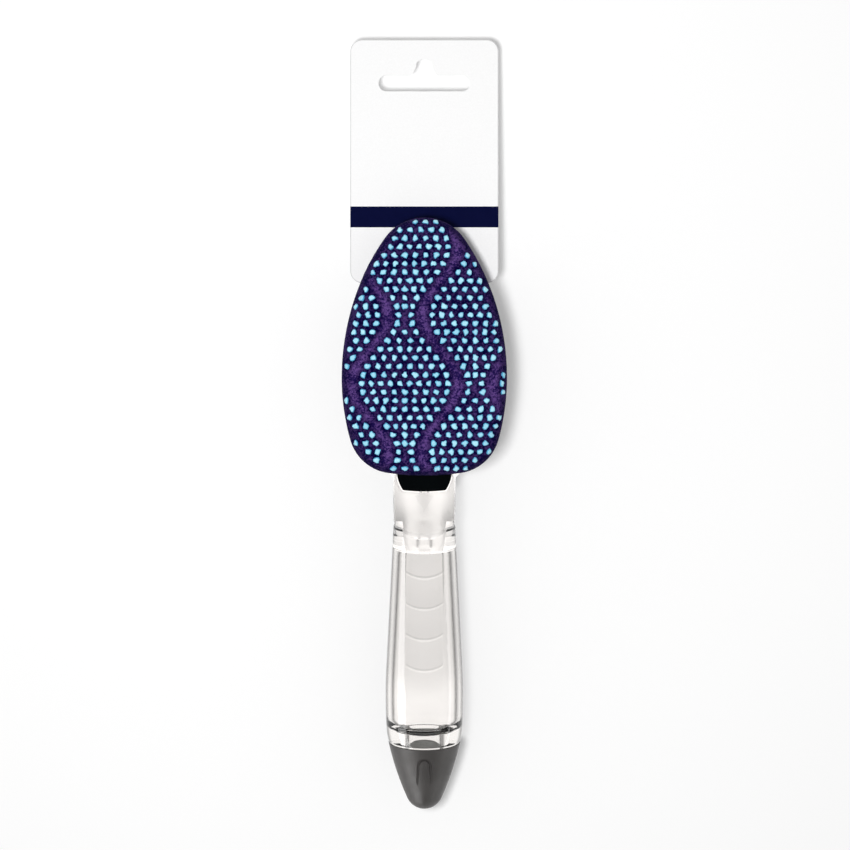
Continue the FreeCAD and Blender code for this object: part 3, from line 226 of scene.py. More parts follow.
class MaterialDesk(NodeDesk):
    """A new material with its Principled shader at hand."""

    def __init__(self, name: str) -> None:
        """Create the material."""
        self.material = bpy.data.materials.new(name)
        self.material.use_nodes = True
        super().__init__(self.material.node_tree)
        self.shader = self.tree.nodes["Principled BSDF"]
        self.output = self.tree.nodes["Material Output"]

    def set(self, **values: object) -> None:
        """Set or feed sockets of the Principled shader, named with underscores."""
        for name, value in values.items():
            self.feed(self.shader.inputs[name.replace("_", " ")], value)

    def bump(self, height: Socket, depth: float) -> None:
        """Feed the shader's normal from a height of a given depth."""
        made = self.node("ShaderNodeBump", {"Height": height, "Distance": depth, "Strength": 1.0})
        self.set(Normal=made.outputs["Normal"])


def shared_group(name: str, inputs: dict[str, str], outputs: dict[str, str]) -> NodeDesk:
    """New shader group with named sockets.

    Args:
        name: Group name.
        inputs: Input name to socket type.
        outputs: Output name to socket type.

    Returns:
        Desk on the group's tree, with its input and output nodes placed.
    """
    tree = bpy.data.node_groups.new(name, "ShaderNodeTree")
    for kind, sockets in (("INPUT", inputs), ("OUTPUT", outputs)):
        for label, socket_type in sockets.items():
            tree.interface.new_socket(name=label, in_out=kind, socket_type=socket_type)
    desk = NodeDesk(tree)
    desk.node("NodeGroupInput")
    desk.node("NodeGroupOutput")
    return desk


def moulded_grain_group(coarse: float = 0.08) -> bpy.types.NodeTree:
    """Fine moulded grain: a roughness that varies a little, and a height for the bump.

    Args:
        coarse: Scale of the varying roughness, as a share of the grain's.

    Returns:
        The group.
    """
    desk = shared_group(
        "moulded_grain",
        {"Vector": "NodeSocketVector", "Scale": "NodeSocketFloat", "Low": "NodeSocketFloat",
         "High": "NodeSocketFloat"},
        {"Roughness": "NodeSocketFloat", "Height": "NodeSocketFloat"})
    source = desk.tree.nodes["Group Input"].outputs
    target = desk.tree.nodes["Group Output"].inputs
    broad = desk.noise(source["Vector"], desk.math("MULTIPLY", source["Scale"], coarse), 3.0)
    spread = desk.node("ShaderNodeMapRange", {
        0: broad, 1: NOISE_RANGE[0], 2: NOISE_RANGE[1], 3: source["Low"], 4: source["High"]})
    desk.feed(target["Roughness"], spread.outputs[0])
    desk.feed(target["Height"], desk.noise(source["Vector"], source["Scale"]))
    return desk.tree


def mottle_group(coarse: float = 0.22, weight: float = 0.45, low: float = 0.62,
                 high: float = 0.84) -> bpy.types.NodeTree:
    """Two colours mottled at two scales, as in dyed fibre or tinted foam.

    Args:
        coarse: Scale of the broad mottles, as a share of the fine ones'.
        weight: Weight of the broad mottles.
        low: Level up to which the dark colour shows alone.
        high: Level from which the light colour shows alone.

    Returns:
        The group.
    """
    desk = shared_group(
        "mottle",
        {"Vector": "NodeSocketVector", "Scale": "NodeSocketFloat", "Dark": "NodeSocketColor",
         "Light": "NodeSocketColor", "Bias": "NodeSocketFloat"},
        {"Color": "NodeSocketColor", "Mask": "NodeSocketFloat"})
    source = desk.tree.nodes["Group Input"].outputs
    target = desk.tree.nodes["Group Output"].inputs
    fine = desk.noise(source["Vector"], source["Scale"], 4.0, 0.7)
    broad = desk.noise(source["Vector"], desk.math("MULTIPLY", source["Scale"], coarse))
    level = desk.math("ADD", desk.math("MULTIPLY_ADD", broad, weight, fine), source["Bias"])
    mask = desk.span(level, low, high)
    desk.feed(target["Mask"], mask)
    desk.feed(target["Color"], desk.mix(mask, source["Dark"], source["Light"]))
    return desk.tree


MOULDED_GRAIN = moulded_grain_group()
MOTTLE = mottle_group()


# Finishes

@dataclass(frozen=True)
class Grain:
    """Grain of a moulded face.

    Attributes:
        low, high: Roughness where it is smoothest, and where it is dullest.
        scale: Grains per metre.
        depth: Depth of the grain.
    """

    low: float = 0.36
    high: float = 0.48
    scale: float = 2600.0
    depth: float = 0.012 * MM

    def lay(self, desk: MaterialDesk, where: Socket) -> Socket:
        """Feed the bump, and return the roughness."""
        grain = desk.group(MOULDED_GRAIN, Vector=where, Scale=self.scale, Low=self.low, High=self.high)
        desk.bump(grain.outputs["Height"], self.depth)
        return grain.outputs["Roughness"]


@dataclass(frozen=True)
class Finish:
    """Finish of a piece.

    Attributes:
        name: Material name.
    """

    name: str

    def material(self) -> bpy.types.Material:
        """Build the material."""
        desk = MaterialDesk(self.name)
        self.paint(desk, desk.place())
        return desk.material

    def paint(self, desk: MaterialDesk, where: Socket) -> None:
        """Set up the shader.

        Args:
            desk: Desk of the material.
            where: Object coordinates.
        """
        raise NotImplementedError


@dataclass(frozen=True)
class SatinPlastic(Finish):
    """Opaque moulded plastic with a fine grain.

    Attributes:
        colour: Colour of the moulding.
        grain: Its grain.
        gloss: Specular level.
        patches: Deeper patches per metre.
        patch_range: Noise at which a patch is deepest, and at which it ends.
        patch_share: Share of the colour that is left in a patch.
    """

    colour: Colour
    grain: Grain = Grain()
    gloss: float = 0.5
    patches: float = 130.0
    patch_range: Pair = (0.35, 0.65)
    patch_share: float = 0.86

    def paint(self, desk: MaterialDesk, where: Socket) -> None:
        """Set up the shader."""
        patch = desk.span(desk.noise(where, self.patches, 3.0), *self.patch_range)
        colour = desk.mix(patch, rgba(self.colour, self.patch_share), rgba(self.colour))
        desk.set(Base_Color=colour, Roughness=self.grain.lay(desk, where), Specular_IOR_Level=self.gloss)


@dataclass(frozen=True)
class ClearPlastic(Finish):
    """Clear moulded plastic of the handle.

    Attributes:
        neck: Whether it is the neck, which is frosted in front, or the barrel.
        tint: Colour that the surface lets through.
        clouds: Clouds in the tint per metre.
        cloud_share: Share of the tint that is left in a cloud.
        front: Share of light that the front of the grip lets through, as painted shade over the front.
        outline: Share of light that is left where the surface is seen edge on, as painted shade along the
            outline.
        edge_range: Turn from view at which the painted shade starts, and at which it is darkest.
        index: Index of refraction.
        grain: Grain of the polished faces.
        frost: Roughness of the flat face of the neck.
        frost_level: Height of that face above the back of the base plate.
        wall_frost: Roughness of the wall that rises from that face.
        wall_range: Height above the face at which the wall starts, and at which it is all wall.
        arrow: Height of the raised arrow on that face.
        arrow_shade_share: Share of light that the arrow lets through, a painted shade that sets it off from
            the face.
        step: Bend of the handle to the first grip step.
        step_length: Length of the slope of a grip step, which carries a painted highlight.
        step_soft: Share of the slope over which its foot fades.
        step_bow: Radius that the steps are bowed to.
        step_shade_line: Painted shade line ahead of a step.
        shade_line_share: Share of light that this painted shade line lets through.
        facet_shade_range: Share of light past a step, and ahead of the next one: painted light that fades to
            painted shade.
        steps, pitch: Number of grip steps, and distance between them.
        column: Half width of the grip column.
        seam: Bend of the handle to the welded seam.
        spigot, spigot_radius: Length and radius of the welded spigot.
        play: Gap that the weld fills.
        weld: Distance from the middle of the gap at which a face is still melted.
        absorb: Colour of the plastic in bulk.
        density: Absorption per metre.
        shade: Share of light that its shadow lets through.
    """

    name: str = "clear_plastic"
    neck: bool = False
    tint: Colour = (0.995, 0.99, 0.985)
    clouds: float = 60.0
    cloud_share: float = 0.985
    front: float = 0.88
    outline: float = 0.12
    edge_range: Pair = (0.55, 0.75)
    index: float = 1.46
    grain: Grain = Grain(0.015, 0.05, 420.0, 0.006 * MM)
    frost: float = 0.90
    frost_level: float = 1.8 * MM
    wall_frost: float = 0.3
    wall_range: Pair = (0.39 * MM, 0.9 * MM)
    arrow: float = 0.3 * MM
    arrow_shade_share: float = 0.90
    step: float = 18.6 * MM
    step_length: float = 0.85 * MM
    step_soft: float = 0.2
    step_bow: float = 14.0 * MM
    step_shade_line: float = 0.9 * MM
    shade_line_share: float = 0.88
    facet_shade_range: Pair = (1.02, 0.96)
    steps: int = 5
    pitch: float = 12.3 * MM
    column: float = 7.2 * MM
    seam: float = 8.0 * MM
    spigot: float = 1.2 * MM
    spigot_radius: float = 9.9 * MM
    play: float = 0.1 * MM
    weld: float = 0.06 * MM
    absorb: Colour = (0.72, 0.70, 0.67)
    density: float = 9.0
    shade: Colour = (0.80, 0.80, 0.80)

    def paint(self, desk: MaterialDesk, where: Socket) -> None:
        """Set up the shader."""
        clouds = desk.clouds(where, self.clouds)
        tint = desk.mix(clouds, rgba(self.tint, self.cloud_share), rgba(self.tint))
        rough = self.grain.lay(desk, where)
        if self.neck:
            above = self.above_face(desk, where)
            frost = desk.span(above, *self.wall_range, self.frost, self.wall_frost)
            on_front = desk.math("GREATER_THAN", above, -self.play)
            rough = desk.math("MAXIMUM", rough, desk.math("MULTIPLY", on_front, frost))
            # Painted shade on the top of the raised arrow.
            on_arrow = desk.math("COMPARE", above, self.arrow, self.play / 2)
            tint = desk.mix(on_arrow, tint, rgba(self.tint, self.arrow_shade_share))
        else:
            # Painted shade: the tint darkens where the surface is seen edge on, standing in for dark
            # outlines.
            facing = desk.node("ShaderNodeLayerWeight", {"Blend": 0.5}).outputs["Facing"]
            edge_on_shade = desk.span(facing, *self.edge_range, 1.0, self.outline)
            # Painted highlight and painted shade on the grip's steps, times the painted shade seen edge on.
            share = desk.math("MULTIPLY", self.grip_painted_light(desk, where), edge_on_shade)
            tint = desk.mix(share, rgba(WHITE, 0.0), tint)
        desk.set(Base_Color=tint, Roughness=rough, IOR=self.index, Transmission_Weight=1.0)
        shadow = desk.node("ShaderNodeLightPath").outputs["Is Shadow Ray"]
        open_shadow = desk.node("ShaderNodeBsdfTransparent", {"Color": rgba(self.shade)})
        surface = desk.blend(shadow, desk.shader.outputs[0], open_shadow.outputs[0])
        gone = desk.node("ShaderNodeBsdfTransparent")
        welded = desk.blend(self.weld_mask(desk, where), surface, gone.outputs[0])
        desk.feed(desk.output.inputs["Surface"], welded)
        bulk = desk.node("ShaderNodeVolumeAbsorption", {
            "Color": rgba(self.absorb), "Density": self.density})
        desk.feed(desk.output.inputs["Volume"], bulk.outputs[0])

    @staticmethod
    def from_bend(desk: MaterialDesk, where: Socket) -> Socket:
        """Place counted from the bend of the handle."""
        shift = desk.node("ShaderNodeVectorMath", {0: where, 1: HANDLE.origin}, operation="SUBTRACT")
        return shift.outputs[0]

    def weld_mask(self, desk: MaterialDesk, where: Socket) -> Socket:
        """Mask of the faces that are melted together in the welded seam."""
        away = self.from_bend(desk, where)
        place = desk.dot(away, HANDLE.along)
        axial = desk.node("ShaderNodeVectorMath", {0: HANDLE.along, "Scale": place}, operation="SCALE")
        spoke = desk.node("ShaderNodeVectorMath", {0: away, 1: axial.outputs[0]}, operation="SUBTRACT")
        radius = desk.node("ShaderNodeVectorMath", {0: spoke.outputs[0]}, operation="LENGTH")
        butt = desk.math("COMPARE", place, self.seam + self.play / 2, self.weld)
        sleeve = desk.math("COMPARE", radius.outputs["Value"], self.spigot_radius + self.play / 2, self.play)
        inside = desk.math("COMPARE", place, self.seam + self.spigot / 2, self.spigot / 2 - self.play / 2)
        return desk.math("MAXIMUM", butt, desk.math("MULTIPLY", sleeve, inside))

    def above_face(self, desk: MaterialDesk, where: Socket) -> Socket:
        """Height above the flat face of the neck, below zero behind it."""
        level = HEAD.origin.dot(HEAD.up) + self.frost_level
        return desk.math("SUBTRACT", desk.dot(where, HEAD.up), level)

    def grip_painted_light(self, desk: MaterialDesk, where: Socket) -> Socket:
        """Share of light that the grip's front lets through: painted shade over the front, a painted
        highlight on each step's slope and a painted shade line ahead of it.
        """
        away = self.from_bend(desk, where)
        across = desk.math("ABSOLUTE", desk.node("ShaderNodeSeparateXYZ", {0: away}).outputs["X"])
        inside = desk.math("LESS_THAN", across, self.column)
        aside = desk.math("MINIMUM", across, self.column)
        square = desk.math("MULTIPLY", aside, aside)
        chord = desk.math("SQRT", desk.math("SUBTRACT", self.step_bow ** 2, square))
        bowed = desk.math("SUBTRACT", desk.dot(away, HANDLE.along), chord)
        past = desk.math("SUBTRACT", bowed, self.step - self.step_bow)
        cell = desk.math("WRAP", past, self.pitch, 0.0)
        # Painted highlight on each step's slope, painted shade deepening towards the next step, and a painted
        # shade line just ahead of it.
        slope = desk.span(cell, self.step_length * (1.0 - self.step_soft),
                          self.step_length * (1.0 + self.step_soft), 1.0, 0.0)
        fade = desk.span(cell, self.step_length, self.pitch, *self.facet_shade_range)
        line = desk.span(cell, self.pitch - self.step_shade_line, self.pitch - self.step_shade_line / 2,
                         1.0, self.shade_line_share)
        facet = desk.math("MULTIPLY", desk.math("MULTIPLY", fade, line), self.front)
        stepped = desk.math("MAXIMUM", slope, facet)
        low, high = -self.step_shade_line, (self.steps - 1) * self.pitch + self.step_length
        reach = desk.math("COMPARE", past, (low + high) / 2, (high - low) / 2)
        tone = desk.mix(desk.math("MULTIPLY", inside, reach), rgba(WHITE, self.front), stepped)
        end = desk.span(past, high - self.pitch, high)
        back = desk.math("LESS_THAN", desk.dot(away, HANDLE.up), 0.0)
        return desk.mix(desk.math("MAXIMUM", end, back), tone, rgba(WHITE))


@dataclass(frozen=True)
class Silicone(Finish):
    """Milky silicone of the valve and the seals.

    Attributes:
        dark: Colour where it is clouded.
        light: Colour where it is not.
        clouds: Clouds per metre.
        bias: Share by which the light colour outweighs the dark one.
        grain: Its grain.
        scatter: Share of light that is scattered inside.
        scatter_depth: How deep that light goes.
    """

    name: str = "milky_silicone"
    dark: Colour = (0.52, 0.52, 0.50)
    light: Colour = (0.62, 0.62, 0.60)
    clouds: float = 700.0
    bias: float = 0.1
    grain: Grain = Grain(0.42, 0.58, 1800.0, 0.01 * MM)
    scatter: float = 0.25
    scatter_depth: float = 1.5 * MM

    def paint(self, desk: MaterialDesk, where: Socket) -> None:
        """Set up the shader."""
        cloud = desk.group(MOTTLE, Vector=where, Scale=self.clouds, Dark=rgba(self.dark),
                           Light=rgba(self.light), Bias=self.bias)
        desk.set(Base_Color=cloud.outputs["Color"], Roughness=self.grain.lay(desk, where),
                 Subsurface_Weight=self.scatter, Subsurface_Scale=self.scatter_depth)


@dataclass(frozen=True)
class PadFoam(Finish):
    """Open-cell foam inside the pad.

    Attributes:
        dark: Colour of the darker cells.
        light: Colour of the lighter cells.
        mottles: Mottles per metre.
        bias: Share by which the light colour outweighs the dark one.
        cells: Cells per metre.
        cell_range: Distance from a cell's middle at which it is hollow, and at which its wall stands.
        painted_hollow_shade: Share of the dark colour that is left in a hollow, as painted shade.
        rough: Roughness of the cell walls.
        depth: Depth of a cell.
    """

    name: str = "pad_foam"
    dark: Colour = (0.30, 0.27, 0.40)
    light: Colour = (0.52, 0.47, 0.62)
    mottles: float = 900.0
    bias: float = 0.15
    cells: float = 1500.0
    cell_range: Pair = (0.1, 0.6)
    painted_hollow_shade: float = 0.4
    rough: float = 0.95
    depth: float = 0.25 * MM

    def paint(self, desk: MaterialDesk, where: Socket) -> None:
        """Set up the shader."""
        cell = desk.node("ShaderNodeTexVoronoi", {"Vector": where, "Scale": self.cells})
        wall = desk.span(cell.outputs["Distance"], *self.cell_range)
        tone = desk.group(MOTTLE, Vector=where, Scale=self.mottles, Dark=rgba(self.dark),
                          Light=rgba(self.light), Bias=self.bias)
        # Painted shade in the hollow of each cell.
        shaded = desk.mix(wall, rgba(self.dark, self.painted_hollow_shade), tone.outputs["Color"])
        desk.set(Base_Color=shaded, Roughness=self.rough)
        desk.bump(wall, self.depth)


@dataclass(frozen=True)
class ScrubFabric(Finish):
    """Brushed knit fabric of the pad, with painted shade round each printed dot and along its rim.

    Attributes:
        dark: Fibre colour in the hollows.
        light: Fibre colour on the crests.
        painted_dot_shade: Colour of the painted shade round a dot and along the rim.
        crest_painted_shade: Share of that painted shade that the crests take on.
        fibres: Mottles per metre.
        nap: Naps per metre.
        nap_rough: How rugged the nap is.
        nap_share: Height of the nap to that of the stitches.
        knit: Stitches per metre.
        knit_random: How far the stitches stray from a grid.
        knit_reach: Distance from a stitch's middle at which it ends.
        rough: Roughness in the hollows and on the crests.
        sheen, sheen_rough, sheen_tint: Strength, roughness and colour of the nap's sheen.
        gloss: Specular level.
        depth: Depth of the knit.
    """

    name: str = "scrub_fabric"
    dark: Colour = (0.011, 0.005, 0.066)
    light: Colour = (0.125, 0.062, 0.250)
    painted_dot_shade: Colour = (0.001, 0.0005, 0.030)
    crest_painted_shade: float = 0.72
    fibres: float = 1250.0
    nap: float = 2600.0
    nap_rough: float = 0.65
    nap_share: float = 0.6
    knit: float = 1350.0
    knit_random: float = 0.8
    knit_reach: float = 0.7
    rough: Pair = (0.95, 0.8)
    sheen: float = 0.015
    sheen_rough: float = 0.5
    sheen_tint: Colour = (0.55, 0.42, 0.85)
    gloss: float = 0.03
    depth: float = 0.28 * MM

    def paint(self, desk: MaterialDesk, where: Socket) -> None:
        """Set up the shader."""
        tone = desk.group(MOTTLE, Vector=where, Scale=self.fibres, Dark=rgba(self.dark),
                          Light=rgba(self.light), Bias=0.0)
        crest = tone.outputs["Mask"]
        # Painted shade round each dot and along the rim, read from the mesh attribute, kept off part of the
        # crests.
        painted_shade_mask = desk.node("ShaderNodeAttribute", attribute_name="painted_dot_and_rim_shade").outputs["Fac"]
        cover = desk.math("MULTIPLY", painted_shade_mask, desk.span(crest, 0.0, 1.0, 1.0, self.crest_painted_shade))
        colour = desk.mix(cover, tone.outputs["Color"], rgba(self.painted_dot_shade))
        nap = desk.noise(where, self.nap, 3.0, self.nap_rough)
        knit = desk.node("ShaderNodeTexVoronoi", {
            "Vector": where, "Scale": self.knit, "Randomness": self.knit_random})
        stitch = desk.span(knit.outputs["Distance"], 0.0, self.knit_reach, 1.0, 0.0)
        desk.set(Base_Color=colour, Roughness=desk.span(crest, 0.0, 1.0, *self.rough),
                 Sheen_Weight=self.sheen, Sheen_Roughness=self.sheen_rough,
                 Sheen_Tint=rgba(self.sheen_tint), Specular_IOR_Level=self.gloss)
        desk.bump(desk.math("MULTIPLY_ADD", nap, self.nap_share, stitch), self.depth)


@dataclass(frozen=True)
class DotPrint(Finish):
    """Cured turquoise print of the scrub dots, with a painted highlight on its crown and painted shade at its
    foot.

    Attributes:
        foot, side, crown: Colours of a dot from its foot up: painted shade at the foot, the print's turquoise
            on the side and a painted highlight on the crown.
        foot_shade_range, highlight_range: Height shares at which such a colour starts, and at which it is
            full.
        pits: Pits per metre.
        pit_range: Noise at which a pit starts, and at which it is deepest.
        pit_share: Share of the side's colour that a pit takes on.
        rough: Roughness where the print is smoothest and where it is dullest.
        gloss: Specular level.
        depth: Depth of a pit.
    """

    name: str = "dot_print"
    foot: Colour = (0.010, 0.060, 0.220)
    side: Colour = (0.090, 0.400, 0.640)
    crown: Colour = (0.440, 0.820, 0.950)
    foot_shade_range: Pair = (0.05, 0.55)
    highlight_range: Pair = (0.5, 1.15)
    pits: float = 2400.0
    pit_range: Pair = (0.56, 0.75)
    pit_share: float = 0.3
    rough: Pair = (0.42, 0.6)
    gloss: float = 0.4
    depth: float = 0.05 * MM

    def paint(self, desk: MaterialDesk, where: Socket) -> None:
        """Set up the shader."""
        rise = desk.node("ShaderNodeAttribute", attribute_name="crown").outputs["Fac"]
        tone = desk.node("ShaderNodeAttribute", attribute_name="tone").outputs["Fac"]
        # Painted shade at the dot's foot and a painted highlight on its crown, set by height.
        low = desk.mix(desk.span(rise, *self.foot_shade_range), rgba(self.foot), rgba(self.side))
        top = desk.span(desk.math("ADD", rise, tone), *self.highlight_range)
        full = desk.mix(top, low, rgba(self.crown))
        pit = desk.noise(where, self.pits, 3.0)
        speck = desk.mix(desk.span(pit, *self.pit_range, 0.0, self.pit_share), full, rgba(self.side))
        desk.set(Base_Color=speck, Roughness=desk.span(pit, *NOISE_RANGE, *self.rough),
                 Specular_IOR_Level=self.gloss)
        desk.bump(pit, self.depth)


@dataclass(frozen=True)
class CardBoard(Finish):
    """White coated board of the hang card, with one plain printed stripe.

    Attributes:
        board: Colour of the coated face.
        ink: Colour of the stripe.
        stripe_low, stripe_high: Edges of the stripe, ahead of the pad's heel.
        half: Half width of the card.
        foot, top: Lower and upper edge of the card, ahead of the pad's heel.
        corner: Corner radius of the card.
        edge: Width of the painted shade line along the cut edge.
        edge_shade: Share of the white that is left on that line.
        facing: How far a face must look up to be printed.
        fibres: Fibres per metre.
        fibre_share: Share of the white that is left between them.
        patches: Duller patches per metre.
        rough: Roughness where the coat is smoothest and where it is dullest.
        gloss: Specular level.
        depth: Depth of the fibres.
    """

    name: str = "card_board"
    board: Colour = (0.97, 0.97, 0.97)
    ink: Colour = (0.0022, 0.0035, 0.031)
    stripe_low: float = 97.3 * MM
    stripe_high: float = 105.5 * MM
    half: float = 29.05 * MM
    foot: float = 75.5 * MM
    top: float = 170.9 * MM
    corner: float = 4.7 * MM
    edge: float = 0.5 * MM
    edge_shade: float = 0.62
    facing: float = 0.5
    fibres: float = 1500.0
    fibre_share: float = 0.975
    patches: float = 500.0
    rough: Pair = (0.35, 0.5)
    gloss: float = 0.06
    depth: float = 0.01 * MM

    def edge_shade_mask(self, desk: MaterialDesk, across: object, along: object) -> Socket:
        """Mask of the painted shade line along the cut edge of the card, by place across and along it."""
        middle = HEAD.origin.dot(HEAD.along) + (self.foot + self.top) / 2
        reach = (self.top - self.foot) / 2 - self.corner
        side = desk.math("SUBTRACT", desk.math("ABSOLUTE", across), self.half - self.corner)
        end = desk.math("SUBTRACT", desk.math("ABSOLUTE", desk.math("SUBTRACT", along, middle)), reach)
        far_side, far_end = desk.math("MAXIMUM", side, 0.0), desk.math("MAXIMUM", end, 0.0)
        round_off = desk.math("SQRT", desk.math(
            "MULTIPLY_ADD", far_side, far_side, desk.math("MULTIPLY", far_end, far_end)))
        inner = desk.math("MINIMUM", desk.math("MAXIMUM", side, end), 0.0)
        return desk.span(desk.math("ADD", round_off, inner), self.corner - self.edge, self.corner)

    def paint(self, desk: MaterialDesk, where: Socket) -> None:
        """Set up the shader."""
        fibre = desk.noise(where, self.fibres, 3.0)
        along = desk.dot(where, HEAD.along)
        across = desk.node("ShaderNodeSeparateXYZ", {0: where}).outputs["X"]
        plain = desk.mix(desk.span(fibre, *NOISE_RANGE), rgba(self.board, self.fibre_share), rgba(self.board))
        # Painted shade along the card's cut edge.
        white = desk.mix(self.edge_shade_mask(desk, across, along), plain, rgba(self.board, self.edge_shade))
        base = HEAD.origin.dot(HEAD.along)
        above = desk.math("GREATER_THAN", along, base + self.stripe_low)
        below = desk.math("LESS_THAN", along, base + self.stripe_high)
        normal = desk.node("ShaderNodeNewGeometry").outputs["True Normal"]
        front = desk.math("GREATER_THAN", desk.dot(normal, HEAD.up), self.facing)
        stripe = desk.math("MULTIPLY", desk.math("MULTIPLY", above, below), front)
        desk.set(Base_Color=desk.mix(stripe, white, rgba(self.ink)),
                 Roughness=desk.clouds(where, self.patches, *self.rough), Specular_IOR_Level=self.gloss)
        desk.bump(fibre, self.depth)


class Plastic(Enum):
    """Opaque plastics of the wand."""

    BLACK = SatinPlastic("black_plastic", (0.0015, 0.0024, 0.003), gloss=0.06)
    GREY = SatinPlastic("grey_plastic", (0.064, 0.060, 0.058), gloss=0.4)
    NATURAL = SatinPlastic("natural_plastic", (0.60, 0.60, 0.58), Grain(0.38, 0.5))


# Mesh helpers

def new_piece(name: str, bm: bmesh.types.BMesh, material: bpy.types.Material | None) -> bpy.types.Object:
    """Object at the origin from a bmesh, shaded smooth.

    Args:
        name: Piece name.
        bm: Its form in the row frame, freed here.
        material: Its finish.

    Returns:
        The linked object.
    """
    mesh = bpy.data.meshes.new(name)
    bm.to_mesh(mesh)
    bm.free()
    mesh.shade_smooth()
    if material is not None:
        mesh.materials.append(material)
    obj = bpy.data.objects.new(name, mesh)
    bpy.context.scene.collection.objects.link(obj)
    return obj


def evaluated_bmesh(obj: bpy.types.Object) -> bmesh.types.BMesh:
    """Bmesh of an object with its modifiers applied."""
    bpy.context.view_layer.update()
    graph = bpy.context.evaluated_depsgraph_get()
    bm = bmesh.new()
    bm.from_object(obj, graph)
    return bm


def merged_copy(node: str) -> bmesh.types.BMesh:
    """Copy of a CAD node's mesh with its loose triangles merged."""
    bm = bmesh.new()
    bm.from_mesh(frame["nodes"][node].data)
    bmesh.ops.remove_doubles(bm, verts=bm.verts, dist=MERGE_REACH)
    return bm


def even_out(obj: bpy.types.Object, size: float) -> None:
    """Give an object an even mesh with cells of a given size."""
    remesh = obj.modifiers.new("even", "REMESH")
    remesh.mode = "VOXEL"
    remesh.voxel_size = size
    remesh.use_smooth_shade = True


def dress_node(node: str, material: bpy.types.Material) -> None:
    """Give a CAD node its finish."""
    mesh = frame["nodes"][node].data
    mesh.materials.clear()
    mesh.materials.append(material)
    LOG.info("%s: %s", node, material.name)


# Scrub pad

